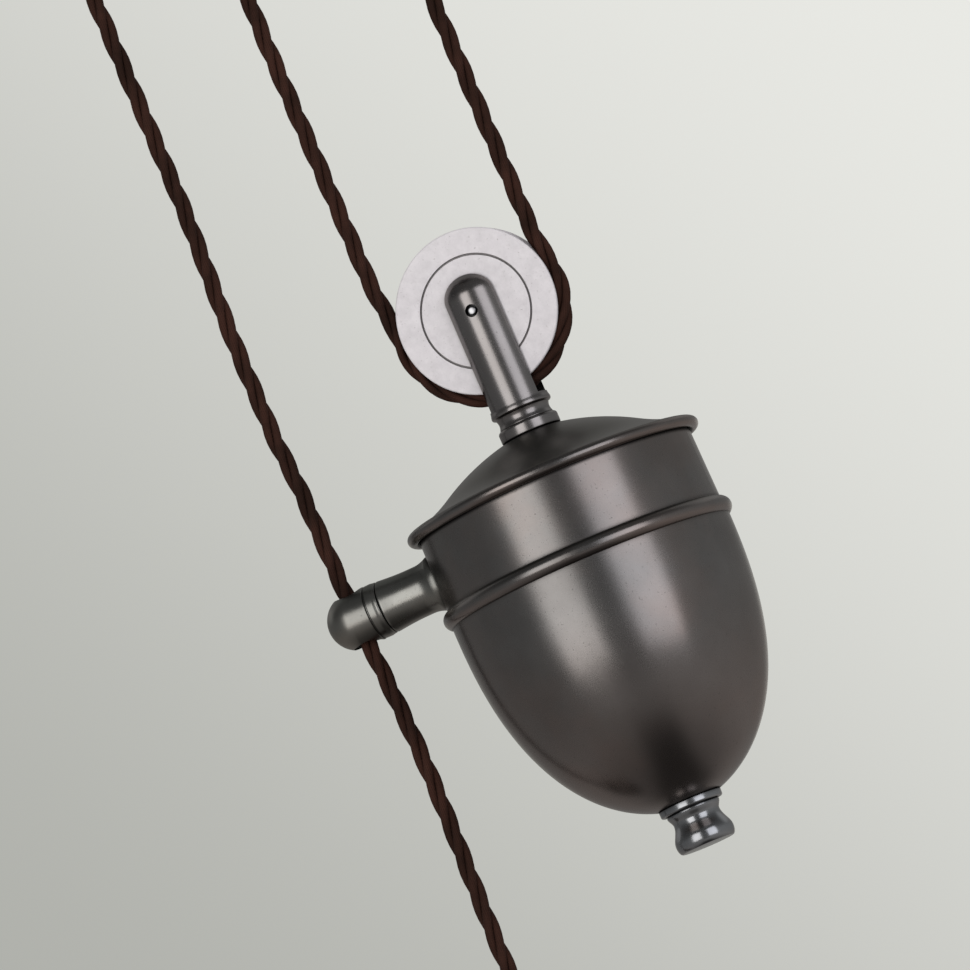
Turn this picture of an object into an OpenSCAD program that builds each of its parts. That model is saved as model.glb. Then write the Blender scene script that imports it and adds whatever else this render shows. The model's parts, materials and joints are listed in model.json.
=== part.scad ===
// Rise-and-fall pendant: ceiling rose, two pulley wheels, acorn counterweight and bare lampholder.
// Millimetres, +Z up. The origin is on the ceiling, at the rose's centre. All cord runs hang in the XZ
// plane, the wheels turn about Y, and the counterweight's guide arm points along -X.

/* [Cord] */
// Overall diameter of the twisted flex
cord_d = 7; // [5.6:0.1:7.2]
// Gap between the flex and the floor of a wheel's groove
groove_gap = 0.3; // [0.2:0.05:0.5]
// Gap all round the flex in a cord grip
grip_gap = 0.1; // [0.05:0.05:0.3]

/* [Layout] */
// From the counterweight's axis to the flex in its guide eye
eye_reach = 92; // [88:1:104]
// Height between the two wheel axles at rest
axle_drop = 220; // [190:5:320]
// Height from the lower axle down to the lampholder's cord grip at rest
lamp_drop = 243; // [236:1:300]

/* [Wheels] */
// Flange radius of the counterweight's wheel
wheel_r = 32.2; // [30:0.1:34]
// Width of a wheel across its flanges
wheel_w = 10; // [9:0.1:11]
// How far the flex's centre line lies outside the flange
cord_overhang = 1.3; // [0.6:0.1:2]
// Width of the flat rim outside the turned line on a wheel's face
rim_band = 10.3; // [8:0.1:12]
// Width of the turned line
face_line_w = 0.8; // [0.4:0.1:1.2]
// Depth of the turned line
face_line_depth = 0.5; // [0.2:0.1:1]
// Bevel on a flange's outer corner
flange_bevel = 0.5; // [0.2:0.1:0.9]
// Outer radius of the brass bush in a wheel
bush_r = 4.5; // [4:0.1:5.5]
// Radius of the axle pins
axle_r = 2.5; // [2:0.1:3]
// Running clearance between bush and pin
axle_gap = 0.05; // [0.02:0.01:0.1]
// Radius of the reduced ends of the axle pins
pin_end_r = 1.6; // [1.2:0.1:1.9]
// Length of the reduced ends of the axle pins
pin_end_l = 2.3; // [1:0.1:3]
// End play between a bush and each cheek of its yoke
end_play = 0.2; // [0.1:0.05:0.4]

/* [Yokes] */
// Radius of the turned bar
bar_r = 11.8; // [11.2:0.1:12.1]
// Width of the slot between the cheeks
slot_w = 12; // [11.8:0.1:13]
// Depth of the slot beyond the axle
slot_depth = 38.3; // [37.5:0.1:39]
// From the axle to the seat
yoke_h = 51.8; // [51.4:0.1:60]
// From the axle to the end of the straight bar
bar_end = 5.75; // [5:0.05:9]
// Height of the rounded end
bar_dome_h = 10.2; // [7:0.1:11]
// Radius of the upper ring
ring_r = 12.2; // [12:0.1:14]
// Height of the upper ring
ring_h = 3.2; // [2.4:0.1:4]
// Radius of the neck at both ends of its hollow
neck_r = 10.9; // [10:0.1:11]
// Radius of the lower bead
foot_r = 12.1; // [11.8:0.1:14]
// Height of the lower bead
foot_h = 5.1; // [4:0.1:5.6]
// Thread radius of the studs in the yokes
stud_r = 4; // [3:0.1:5]
// Length of thread inside a yoke
stud_grip = 10; // [6:0.5:11]

/* [Counterweight lid] */
// Outer radius over the rolled rim
lid_r = 60.3; // [56:0.1:66]
// Radius of the flat that carries the yoke
lid_seat_r = 12.6; // [12.2:0.1:16]
// Radius of the rolled rim's section
rim_bead_r = 2.3; // [1.8:0.1:3]
// Radius of the hollow sweep next to the rim
flare_r = 60; // [30:1:80]
// Thickness of the spun shells
shell_t = 1.3; // [1:0.1:2]
// Gap between the rolled rim and the band's outer face
rim_gap = 0.1; // [0.1:0.1:0.8]
// Length of the locating lips inside the band
lip_h = 4; // [3:0.5:4]
// Clearance between a lip and the band
lip_gap = 0.2; // [0.1:0.05:0.4]

/* [Counterweight band and bowl] */
// Height of the band
band_h = 29.5; // [28:0.5:40]
// How much wider the band is at its foot
band_flare = 0.6; // [0.2:0.1:1.5]
// Radius of the section of the bead round the bowl's mouth
mid_bead_r = 3.6; // [3:0.1:4.2]
// How far the bead's centre line lies inside the band's foot
mid_bead_inset = 0.5; // [0:0.1:0.8]
// How far the bowl stands out beyond the band's foot
bowl_step = 0.85; // [0.5:0.05:1.2]
// Depth of the bowl below its bead
bowl_h = 97.2; // [88:0.1:120]
// How full the bowl's outline is
bowl_fullness = 2.45; // [2.2:0.05:3]
// Radius of the flat under the bowl
bowl_base_r = 13.4; // [13:0.1:19]

/* [Ballast] */
// Height of the shaped lower slug
slug_h = 36; // [24:1:44]
// Gap between the iron discs and the bowl's wall, where they come closest
disc_gap = 1.2; // [0.5:0.1:10]
// Thickness of each flat disc
disc_h = 14; // [8:0.5:16]
// Clearance between the shaped slug and the bowl
slug_gap = 0.5; // [0.3:0.1:1]

/* [Finial] */
// Radius of its flange
finial_flange_r = 12.7; // [12:0.1:15]
// Thickness of its flange
finial_flange_h = 3.1; // [2:0.1:4]
// Radius of its neck
finial_neck_r = 9.45; // [8:0.05:11]
// Radius of its knob
finial_knob_r = 11.9; // [11:0.1:14]
// Height of the whole finial
finial_h = 18.6; // [16:0.1:24]

/* [Guide arm] */
// From the lid's seat on the band down to the arm's axis
arm_drop = 16.3; // [15:0.1:16.8]
// Radius at the band
arm_root_r = 11.2; // [10.4:0.1:12]
// Radius at the waist
arm_waist_r = 9.75; // [8.5:0.05:10]
// Radius of the sweep from the waist to the root
arm_sweep_r = 12; // [8:0.5:16]
// Radius where the arm meets the eye
arm_joint_r = 10.5; // [10:0.1:11]
// From the flex back to the joint between arm and eye
joint_back = 12.1; // [11:0.1:14]
// Radius of the eye's round end
eye_r = 11.4; // [11.1:0.1:12.5]
// How far the round end's centre lies beyond the flex
eye_nose = 1; // [0:0.1:2]
// From the flex back to the fine groove
eye_groove_back = 7; // [6:0.1:8.5]
// Radius of the bore that the flex runs through
eye_bore_r = 5; // [4.4:0.1:5.4]
// Wall of the liner in the eye
liner_t = 1.2; // [0.8:0.1:1.6]
// Radius of the saddle washer inside the band
saddle_r = 8.5; // [8:0.1:8.8]
// Thickness of the saddle washer
saddle_t = 3; // [2:0.1:4]

/* [Rose] */
// Gap between the fixed cord grip's ring nut and the rounding of the rose
rose_clear = 2.8; // [1:0.1:12]
// Depth of the rose below the ceiling
rose_h = 38; // [36:0.5:50]
// Thickness of the rose cup
rose_t = 1.5; // [1.2:0.1:2.5]
// How far the rolled rim stands out beyond the wall
rose_overhang = 4; // [3:0.1:5]
// Rounding between wall and bottom
rose_round = 6; // [4:0.5:7]
// Length of the ceiling strap
strap_l = 124; // [118:1:140]
// Width of the ceiling strap
strap_w = 24; // [22:0.5:28]
// Thickness of the ceiling strap
strap_t = 3; // [2:0.1:4]
// Spacing of the two ceiling screw holes
fixing_pitch = 72; // [66:1:80]
// Radius of the ceiling screw holes
fixing_r = 2.75; // [2.2:0.05:3.2]
// Spacing of the two cover screws
cover_pitch = 102; // [98:1:108]
// Thread radius of the cover screws
cover_screw_r = 2; // [1.5:0.1:2.5]
// How far a cover screw's head stands out beyond its thread
cover_head_out = 3.2; // [2:0.1:4]
// Height of a cover screw's head
cover_head_h = 4; // [2:0.1:5]
// Radius of the supply cable's hole in the strap
cable_hole_r = 7; // [5:0.1:7.5]
// From the strap's centre to the cable's hole
cable_hole_off = 18; // [17:0.5:20]
// Length of the terminal block
block_l = 28; // [24:1:32]
// Width of the terminal block
block_w = 16; // [14:0.5:18]
// Height of the terminal block
block_h = 13; // [11:0.5:15]

/* [Cord grips] */
// Radius at the mouth
grip_mouth_r = 5.6; // [5:0.1:6.5]
// Radius of the body
grip_body_r = 8; // [7.5:0.1:8.5]
// Radius of the seat flange
grip_flange_r = 9.5; // [9.2:0.1:10]
// Height of a cord grip
grip_h = 16; // [14:0.5:20]
// Thread radius of the spigot
spigot_r = 5; // [4.6:0.1:5.6]
// Length of the spigot
spigot_h = 8; // [7:0.5:9]
// Thickness of the ring nuts on the spigots
ring_nut_h = 3; // [2:0.1:4]
// Radius of the clamping screws
clamp_screw_r = 1.5; // [1:0.1:1.8]
// From a grip's mouth to its clamping screw
clamp_screw_at = 9.5; // [8.5:0.1:10.5]

/* [Lampholder] */
// Radius of the threaded skirt
skirt_r = 19.8; // [19:0.1:21]
// Length of the skirt
skirt_h = 28; // [26:0.5:34]
// Wall of the skirt
skirt_t = 3; // [2:0.1:3.5]
// Height of the domed cap
cap_h = 22; // [20:0.5:28]
// How far the cap's shoulder stands out beyond the skirt
shoulder_out = 1.7; // [1:0.1:3]
// Thickness of the domed cap
cap_t = 1.2; // [1:0.1:1.8]
// Radius of the shade ring
shade_ring_r = 25; // [23:0.5:28]
// Height of the shade ring
shade_ring_h = 7; // [5:0.5:9]
// Length of free thread between the shoulder and the shade ring
collar_h = 15; // [10:0.5:16]
// Inner radius of the lamp socket
socket_r = 13.4; // [13.2:0.05:13.6]
// Thickness of the socket's metal shell
socket_t = 0.6; // [0.4:0.1:0.8]
// Depth of the socket
socket_h = 18; // [16:0.5:20]
// Radius of the room for the centre contact above the socket
contact_room_r = 9; // [8:0.1:11]
// Height of that room
contact_room_h = 4; // [3.8:0.1:5]
// Thickness of the ceramic over that room
insert_roof_t = 2; // [1.5:0.1:3]

/* [Fasteners] */
// Width across the corners of the stud nuts, as a radius
nut_r = 7.5; // [6.8:0.1:8.5]
// Thickness of the stud nuts
nut_h = 6.5; // [4:0.1:7]
// Radius of the plain washers
washer_r = 9; // [8.8:0.1:10]
// Thickness of the plain washers
washer_t = 1.6; // [1:0.1:2]
// Clearance round a stud in a hole
stud_gap = 0.3; // [0.1:0.05:0.5]

/* [Hidden] */
$fn = 64;

// Steps in a drawn arc
arc_n = 12;
// Extra length that carries a cut past a face
over = 1;

// Cord lines: the three runs are centred on the rose, so the load hangs straight below it
cord_r = cord_d / 2;
weight_line_r = wheel_r + cord_overhang;
ceiling_line_r = (eye_reach - weight_line_r) / 2;
weight_x = eye_reach / 3;
fixed_x = weight_x + weight_line_r;
middle_x = weight_x - weight_line_r;
eye_x = weight_x - eye_reach;
ceiling_wheel_x = (middle_x + eye_x) / 2;
ceiling_axle_z = -rose_h - yoke_h;
weight_axle_z = ceiling_axle_z - axle_drop;
lamp_z = weight_axle_z - lamp_drop;

// Yoke levels, measured from its axle towards the seat
ring_top = -slot_depth - 0.2;
ring_bottom = ring_top - ring_h;
ring_round = 0.8;
foot_bottom = -yoke_h + 0.3;
foot_top = foot_bottom + foot_h;
foot_round = 0.8;
foot_shoulder = 1.4;
neck_hollow = 0.5;
line_h = 0.3;
// Angle over which the edges of the ring and the bead are rounded
edge_turn = 80;

// Lid outline: a crown that steepens, then a hollow sweep that eases off to the rim
crown_a0 = 12.5;
crown_a1 = 30;
flare_a1 = 14;
rim_line_r = lid_r - rim_bead_r;
lid_edge_r = rim_line_r - 1;
flare_run = flare_r * (sin(crown_a1) - sin(flare_a1));
crown_r = (lid_edge_r - lid_seat_r - flare_run) / (sin(crown_a1) - sin(crown_a0));
lid_seat_z = -yoke_h;
crown_end = [
    lid_seat_r + crown_r * (sin(crown_a1) - sin(crown_a0)),
    lid_seat_z - crown_r * (cos(crown_a0) - cos(crown_a1))
];
lid_edge_z = crown_end.y - flare_r * (cos(flare_a1) - cos(crown_a1));
rim_z = lid_edge_z - rim_bead_r + 0.4;

// Band and bowl levels, measured from the lower axle
rim_seat_drop = 1.3;
band_top_z = rim_z - rim_seat_drop;
band_foot_z = band_top_z - band_h;
band_top_r = rim_line_r - sqrt(rim_bead_r * rim_bead_r - rim_seat_drop * rim_seat_drop) - rim_gap;
band_foot_r = band_top_r + band_flare;
mid_bead_z = band_foot_z - mid_bead_r - 0.2;
mid_bead_line_r = band_foot_r - mid_bead_inset;
bowl_top_z = mid_bead_z - mid_bead_r + 0.1;
bowl_r = band_foot_r + bowl_step;
bowl_base_z = bowl_level(bowl_r, bowl_h, bowl_base_r);
bowl_floor_r = bowl_base_r - 1;
bowl_floor_z = bowl_level(bowl_r - shell_t, bowl_h - shell_t, bowl_floor_r);
disc_z = bowl_floor_z + slug_h;
disc_r = (bowl_r - shell_t) * cos(bowl_angle(bowl_h - shell_t, disc_z)) - disc_gap;
ballast_top_z = disc_z + 2 * disc_h;

// Guide arm, measured from the counterweight's axis outwards
arm_z = band_top_z - arm_drop;
arm_root = band_top_r + band_flare * arm_drop / band_h;
sweep_rise = arm_root_r - arm_waist_r;
sweep_run = sqrt(2 * arm_sweep_r * sweep_rise - sweep_rise * sweep_rise);
sweep_a = asin(sweep_run / arm_sweep_r);
waist_start = arm_root + 1.6 + sweep_run;
joint_at = eye_reach - joint_back;
groove_at = eye_reach - eye_groove_back;
liner_r = eye_bore_r + liner_t;

// Rose levels
rose_rim_r = 2.3;
rose_wall_r = fixed_x + grip_body_r + rose_clear + rose_round;
rose_r = rose_wall_r + rose_overhang;
rose_floor_z = -rose_h + rose_t;
rose_grip_z = -rose_h - grip_h;
rose_spigot_z = -rose_h + spigot_h;
block_mid_z = -strap_t - block_h / 2;
tail_bend_r = block_mid_z - rose_spigot_z;
earth_y = (block_w / 2 + fixing_pitch / 2) / 2;
earth_r = 2;
terminal_pitch = 8;
terminal_r = 1.9;
rivet_r = 1.5;
// From the cover screws' ends to the ceiling
ceiling_gap = 0.5;

// Lampholder levels, measured down from the mouth of its cord grip
cap_top = -grip_h;
cap_foot = cap_top - cap_h;
cap_inner_top = cap_top - cap_t;
skirt_foot = cap_foot - skirt_h;
ring_top_z = cap_foot - collar_h;
insert_r = skirt_r - skirt_t;
insert_foot = skirt_foot + 1.5;
socket_mouth = insert_foot + 0.5;
socket_roof = socket_mouth + socket_h;
contact_roof = socket_roof + contact_room_h;
insert_top = contact_roof + insert_roof_t;
cap_r = skirt_r + shoulder_out;

// Colours
bronze = [0.29, 0.27, 0.26];
pale = [0.86, 0.85, 0.85];
brass = [0.72, 0.58, 0.32];
steel = [0.62, 0.63, 0.65];
iron = [0.3, 0.3, 0.31];
flex = [0.24, 0.13, 0.1];
ceramic = [0.93, 0.92, 0.88];

// Points on an arc from angle a0 to a1
function arc(centre, r, a0, a1) =
    [for (i = [0:arc_n]) let (a = a0 + (a1 - a0) * i / arc_n) centre + r * [cos(a), sin(a)]];

// A hollow that is deep in the middle, from level z0 up to z1
function hollow(r, deep, z0, z1) =
    [for (i = [0:arc_n]) let (t = i / arc_n) [r - deep * sin(180 * t), z0 + (z1 - z0) * t]];

// A smooth slope from radius r0 at level z0 to radius r1 at level z1
function ease(r0, r1, z0, z1) =
    [for (i = [1:arc_n]) let (t = i / arc_n) [r0 + (r1 - r0) * (1 - cos(180 * t)) / 2, z0 + (z1 - z0) * t]];

// A slope from radius r0 at level z0 that steepens to radius r1 at level z1
function flare(r0, r1, z0, z1) =
    [for (i = [0:arc_n]) let (t = i / arc_n) [r0 + (r1 - r0) * (1 - cos(90 * t)), z0 + (z1 - z0) * t]];

// Level at which a bowl of mouth radius r and depth h has the radius at
function bowl_level(r, h, at) = bowl_top_z - h * pow(1 - pow(at / r, 2), 1 / bowl_fullness);

// Angle that puts a bowl's outline at the given level
function bowl_angle(h, z) = asin(pow((bowl_top_z - z) / h, bowl_fullness / 2));

// A bowl's outline from angle a0 down to angle a1
function bowl_points(r, h, a0, a1) =
    [for (i = [0:2 * arc_n]) let (a = a0 + (a1 - a0) * i / (2 * arc_n))
        [r * cos(a), bowl_top_z - h * pow(sin(a), 2 / bowl_fullness)]];

module at_weight() {
    translate([weight_x, 0, weight_axle_z]) children();
}

module at_ceiling_axle() {
    translate([ceiling_wheel_x, 0, ceiling_axle_z]) children();
}

module at_lamp() {
    translate([eye_x, 0, lamp_z]) children();
}

// Turns +Z into -X, so that a level becomes a distance out along the guide arm
module along_arm() {
    translate([weight_x, 0, weight_axle_z + arm_z]) rotate([0, -90, 0]) children();
}

// A ring or tube standing on level z
module tube(outer, inner, z, h) {
    translate([0, 0, z]) difference() {
        cylinder(r = outer, h = h);
        translate([0, 0, -over]) cylinder(r = inner, h = h + 2 * over);
    }
}

module hex_nut(z) {
    translate([0, 0, z]) difference() {
        cylinder(r = nut_r, h = nut_h, $fn = 6);
        translate([0, 0, -over]) cylinder(r = stud_r, h = nut_h + 2 * over);
    }
}

module washer(z) {
    tube(washer_r, stud_r + stud_gap, z, washer_t);
}

// Wheel with a round groove for the flex, in its own frame with the axle along Y
module wheel(line_r) {
    flange_r = line_r - cord_overhang;
    half = wheel_w / 2;
    rotate([90, 0, 0]) rotate_extrude() difference() {
        polygon([
            [bush_r, -half],
            [flange_r - flange_bevel, -half],
            [flange_r, -half + flange_bevel],
            [flange_r, half - flange_bevel],
            [flange_r - flange_bevel, half],
            [bush_r, half]
        ]);
        translate([line_r, 0]) circle(r = cord_r + groove_gap);
        for (side = [-1, 1])
            translate([flange_r - rim_band - face_line_w / 2, side * half - face_line_depth])
                square([face_line_w, 2 * face_line_depth]);
    }
}

module bush() {
    length = slot_w - 2 * end_play;
    rotate([90, 0, 0]) tube(bush_r, axle_r + axle_gap, -length / 2, length);
}

// Pin pressed into the cheeks, with reduced and domed ends just inside the bar's surface
module axle_pin() {
    end = bar_r - 0.4;
    shoulder = end - pin_end_l;
    dome = 0.5;
    rotate([90, 0, 0]) rotate_extrude() polygon([
        [0, -end],
        [0.6 * pin_end_r, 0.3 * dome - end],
        [pin_end_r, dome - end],
        [pin_end_r, -shoulder],
        [axle_r, -shoulder],
        [axle_r, shoulder],
        [pin_end_r, shoulder],
        [pin_end_r, end - dome],
        [0.6 * pin_end_r, end - 0.3 * dome],
        [0, end]
    ]);
}

// Slotted round-bar yoke, standing on its seat with the axle at the origin
module yoke() {
    difference() {
        rotate_extrude() polygon(concat(
            [[0, -yoke_h], [foot_r - foot_round, -yoke_h]],
            arc([foot_r - foot_round, foot_bottom + foot_round], foot_round, -edge_turn, 0),
            arc([foot_r - foot_shoulder, foot_top - foot_shoulder], foot_shoulder, 0, edge_turn),
            hollow(neck_r, neck_hollow, foot_top + line_h, ring_bottom - line_h),
            arc([ring_r - ring_round, ring_bottom + ring_round], ring_round, -edge_turn, 0),
            ease(ring_r, bar_r, ring_bottom + ring_round, ring_top),
            [for (i = [0:arc_n - 1]) let (a = 90 * i / arc_n)
                [bar_r * cos(a), bar_end + bar_dome_h * sin(a)]],
            [[0, bar_end + bar_dome_h]]
        ));
        translate([-2 * bar_r, -slot_w / 2, -slot_depth])
            cube([4 * bar_r, slot_w, slot_depth + bar_end + 2 * bar_dome_h]);
        rotate([90, 0, 0]) cylinder(r = axle_r, h = 4 * bar_r, center = true);
        translate([0, 0, -yoke_h - over]) cylinder(r = stud_r, h = stud_grip + over);
    }
}

// Cord grip standing on its flange, mouth at level 0 and pointing down
module grip() {
    difference() {
        rotate_extrude() polygon([
            [0, 0],
            [grip_mouth_r - 0.8, 0],
            [grip_mouth_r, 0.8],
            [grip_mouth_r + 0.6, 3],
            [grip_body_r, 6],
            [grip_body_r, grip_h - 3],
            [grip_flange_r - 0.6, grip_h - 3],
            [grip_flange_r, grip_h - 2.4],
            [grip_flange_r, grip_h],
            [spigot_r, grip_h],
            [spigot_r, grip_h + spigot_h],
            [0, grip_h + spigot_h]
        ]);
        translate([0, 0, -over]) cylinder(r = cord_r + grip_gap, h = grip_h + spigot_h + 2 * over);
        grip_screw_body(grip_body_r);
    }
}

// Clamping screw of a cord grip, on the side away from the camera
module grip_screw_body(out) {
    translate([0, 0, clamp_screw_at]) rotate([-90, 0, 0]) translate([0, 0, cord_r + grip_gap])
        cylinder(r = clamp_screw_r, h = out + over - cord_r - grip_gap);
}

module grip_nut() {
    tube(grip_body_r, spigot_r, 0, ring_nut_h);
}

module rose_cup() {
    corner_r = rose_wall_r - rose_round;
    corner_z = -rose_h + rose_round;
    color(bronze) difference() {
        rotate_extrude() difference() {
            union() {
                polygon(concat(
                    [[0, -rose_h]],
                    arc([corner_r, corner_z], rose_round, -90, 0),
                    [[rose_wall_r, 0], [rose_wall_r - rose_t, 0]],
                    arc([corner_r, corner_z], rose_round - rose_t, 0, -90),
                    [[0, rose_floor_z]]
                ));
                translate([rose_r - rose_rim_r, 0.1 - rose_rim_r]) circle(r = rose_rim_r);
                translate([rose_wall_r - rose_t, -3]) square([rose_overhang + rose_t - rose_rim_r, 3]);
            }
            square([rose_r + over, over]);
        }
        translate([ceiling_wheel_x, 0, -rose_h - over])
            cylinder(r = stud_r + stud_gap, h = rose_t + 2 * over);
        translate([fixed_x, 0, -rose_h - over]) cylinder(r = spigot_r + 0.1, h = rose_t + 2 * over);
        for (side = [-1, 1])
            translate([0, side * cover_pitch / 2, -rose_h - over])
                cylinder(r = cover_screw_r + stud_gap, h = rose_t + 2 * over);
    }
}

module ceiling_strap() {
    color(steel) difference() {
        translate([-strap_w / 2, -strap_l / 2, -strap_t]) cube([strap_w, strap_l, strap_t]);
        for (side = [-1, 1]) {
            translate([0, side * fixing_pitch / 2, -strap_t - over])
                cylinder(r = fixing_r, h = strap_t + 2 * over);
            translate([0, side * cover_pitch / 2, -strap_t - over])
                cylinder(r = cover_screw_r, h = strap_t + 2 * over);
        }
        translate([0, -cable_hole_off, -strap_t - over]) cylinder(r = cable_hole_r, h = strap_t + 2 * over);
        translate([0, earth_y, -strap_t - over]) cylinder(r = earth_r, h = strap_t + 2 * over);
    }
}

// Domed heads under the cup and long shanks up into the strap
module cover_screws() {
    head_r = cover_screw_r + cover_head_out;
    color(bronze) for (side = [-1, 1])
        translate([0, side * cover_pitch / 2, -rose_h]) {
            rotate_extrude() polygon(concat(
                [[0, 0]],
                [for (i = [0:arc_n]) let (a = 90 * i / arc_n) [head_r * cos(a), -cover_head_h * sin(a)]]
            ));
            cylinder(r = cover_screw_r, h = rose_h - ceiling_gap);
        }
}

module terminal_places() {
    for (i = [-1:1])
        for (side = [-1, 1])
            translate([i * terminal_pitch, side * block_w / 4, -strap_t - block_h]) children();
}

module terminal_block() {
    color(ceramic) difference() {
        translate([-block_l / 2, -block_w / 2, -strap_t - block_h]) cube([block_l, block_w, block_h]);
        terminal_places() translate([0, 0, -over]) cylinder(r = terminal_r, h = 6 + over);
    }
}

module terminal_screws() {
    color(brass) terminal_places() translate([0, 0, 1]) difference() {
        cylinder(r = terminal_r, h = 5);
        translate([-terminal_r, -0.3, -over]) cube([2 * terminal_r, 0.6, over + 0.8]);
    }
}

module earth_screw() {
    head_r = 3.5;
    head_h = 2.5;
    slot = 0.8;
    color(brass) translate([0, earth_y, -strap_t]) difference() {
        union() {
            translate([0, 0, -head_h]) cylinder(r = head_r, h = head_h);
            cylinder(r = earth_r, h = strap_t - 0.2);
        }
        translate([-head_r - over, -slot / 2, -head_h - over])
            cube([2 * (head_r + over), slot, over + 1]);
    }
}

module rose_grip() {
    color(bronze) translate([fixed_x, 0, rose_grip_z]) grip();
}

module rose_grip_nut() {
    color(brass) translate([fixed_x, 0, rose_floor_z]) grip_nut();
}

module rose_grip_screw() {
    color(brass) translate([fixed_x, 0, rose_grip_z]) grip_screw_body(grip_body_r - 1.5);
}

module ceiling_yoke() {
    color(bronze) at_ceiling_axle() rotate([180, 0, 0]) yoke();
}

module ceiling_stud() {
    color(steel) translate([ceiling_wheel_x, 0, -rose_h - stud_grip])
        cylinder(r = stud_r, h = stud_grip + rose_t + washer_t + nut_h + 2);
}

module ceiling_washer() {
    color(steel) translate([ceiling_wheel_x, 0, rose_floor_z]) washer(0);
}

module ceiling_nut() {
    color(steel) translate([ceiling_wheel_x, 0, rose_floor_z]) hex_nut(washer_t);
}

module ceiling_axle() {
    color(steel) at_ceiling_axle() axle_pin();
}

module ceiling_wheel() {
    color(pale) at_ceiling_axle() wheel(ceiling_line_r);
}

module ceiling_bush() {
    color(brass) at_ceiling_axle() bush();
}

module weight_yoke() {
    color(bronze) at_weight() yoke();
}

module weight_axle() {
    color(steel) at_weight() axle_pin();
}

module weight_wheel() {
    color(pale) at_weight() wheel(weight_line_r);
}

module weight_bush() {
    color(brass) at_weight() bush();
}

// Upper face of the lid from its seat out to the rolled rim
lid_outline = concat(
    [for (i = [0:arc_n]) let (a = crown_a0 + (crown_a1 - crown_a0) * i / arc_n)
        [lid_seat_r + crown_r * (sin(a) - sin(crown_a0)), lid_seat_z - crown_r * (cos(crown_a0) - cos(a))]],
    [for (i = [1:arc_n]) let (a = crown_a1 + (flare_a1 - crown_a1) * i / arc_n)
        [crown_end.x + flare_r * (sin(crown_a1) - sin(a)), crown_end.y - flare_r * (cos(a) - cos(crown_a1))]]
);

module weight_lid() {
    lip_r = band_top_r - shell_t - lip_gap;
    flange_r = rim_line_r - 0.5;
    flange_top = lid_edge_z - 0.2;
    n = len(lid_outline);
    color(bronze) at_weight() difference() {
        union() {
            rotate_extrude() polygon(concat(
                [[0, lid_seat_z]],
                lid_outline,
                [for (i = [n - 1:-1:0]) lid_outline[i] - [0, shell_t]],
                [[0, lid_seat_z - shell_t]]
            ));
            rotate_extrude() polygon([
                [lip_r - shell_t, flange_top],
                [flange_r, flange_top],
                [flange_r, band_top_z],
                [lip_r, band_top_z],
                [lip_r, band_top_z - lip_h],
                [lip_r - shell_t, band_top_z - lip_h]
            ]);
            rotate_extrude() translate([rim_line_r, rim_z]) circle(r = rim_bead_r);
        }
        translate([0, 0, lid_seat_z - 2 * shell_t]) cylinder(r = stud_r + stud_gap, h = 3 * shell_t);
    }
}

// Section of the band's wall; a wall that reaches the axis gives the solid it would enclose
module band_section(outer_cut, inner_r_top, inner_r_foot) {
    rotate_extrude($fn = 240) polygon([
        [inner_r_top, band_top_z],
        [band_top_r - outer_cut, band_top_z],
        [band_foot_r - outer_cut, band_foot_z],
        [inner_r_foot, band_foot_z]
    ]);
}

module weight_band() {
    color(bronze) difference() {
        at_weight() band_section(0, band_top_r - shell_t, band_foot_r - shell_t);
        along_arm() cylinder(r = stud_r + stud_gap, h = 2 * band_top_r);
    }
}

module weight_bowl() {
    lip_r = band_foot_r - shell_t - lip_gap;
    inner_r = bowl_r - shell_t;
    outer = bowl_points(bowl_r, bowl_h, 0, acos(bowl_base_r / bowl_r));
    inner = bowl_points(inner_r, bowl_h - shell_t, acos(bowl_floor_r / inner_r), 0);
    color(bronze) at_weight() difference() {
        union() {
            rotate_extrude() polygon(concat(
                [[lip_r - shell_t, band_foot_z + lip_h], [lip_r, band_foot_z + lip_h]],
                [[lip_r, band_foot_z], [band_foot_r, band_foot_z], [bowl_r, mid_bead_z]],
                outer,
                [[0, bowl_base_z], [0, bowl_floor_z]],
                inner,
                [[lip_r - shell_t, bowl_top_z]]
            ));
            rotate_extrude() translate([mid_bead_line_r, mid_bead_z]) circle(r = mid_bead_r);
        }
        translate([0, 0, bowl_base_z - over]) cylinder(r = stud_r + stud_gap, h = shell_t + 3 * over);
    }
}

module tie_rod() {
    foot = bowl_base_z - stud_grip;
    color(steel) at_weight() translate([0, 0, foot]) cylinder(r = stud_r, h = stud_grip - yoke_h - foot);
}

module lid_washer() {
    color(steel) at_weight() washer(lid_seat_z - shell_t - washer_t);
}

module lid_nut() {
    color(steel) at_weight() hex_nut(lid_seat_z - shell_t - washer_t - nut_h);
}

// Iron slug that fills the foot of the bowl and stands on its flat floor
module ballast_lower() {
    r = bowl_r - shell_t - slug_gap;
    h = bowl_h - shell_t - slug_gap;
    a0 = bowl_angle(h, disc_z);
    base_r = bowl_floor_r - 1;
    a1 = acos(base_r / r);
    color(iron) at_weight() rotate_extrude() polygon(concat(
        [[stud_r + stud_gap, bowl_floor_z]],
        [[base_r, bowl_floor_z]],
        [for (i = [2 * arc_n - 1:-1:0]) bowl_points(r, h, a0, a1)[i]],
        [[stud_r + stud_gap, disc_z]]
    ));
}

module ballast_middle() {
    color(iron) at_weight() tube(disc_r, stud_r + stud_gap, disc_z, disc_h);
}

module ballast_upper() {
    color(iron) at_weight() tube(disc_r, stud_r + stud_gap, disc_z + disc_h, disc_h);
}

module ballast_washer() {
    color(steel) at_weight() washer(ballast_top_z);
}

module ballast_nut() {
    color(steel) at_weight() hex_nut(ballast_top_z + washer_t);
}

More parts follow.
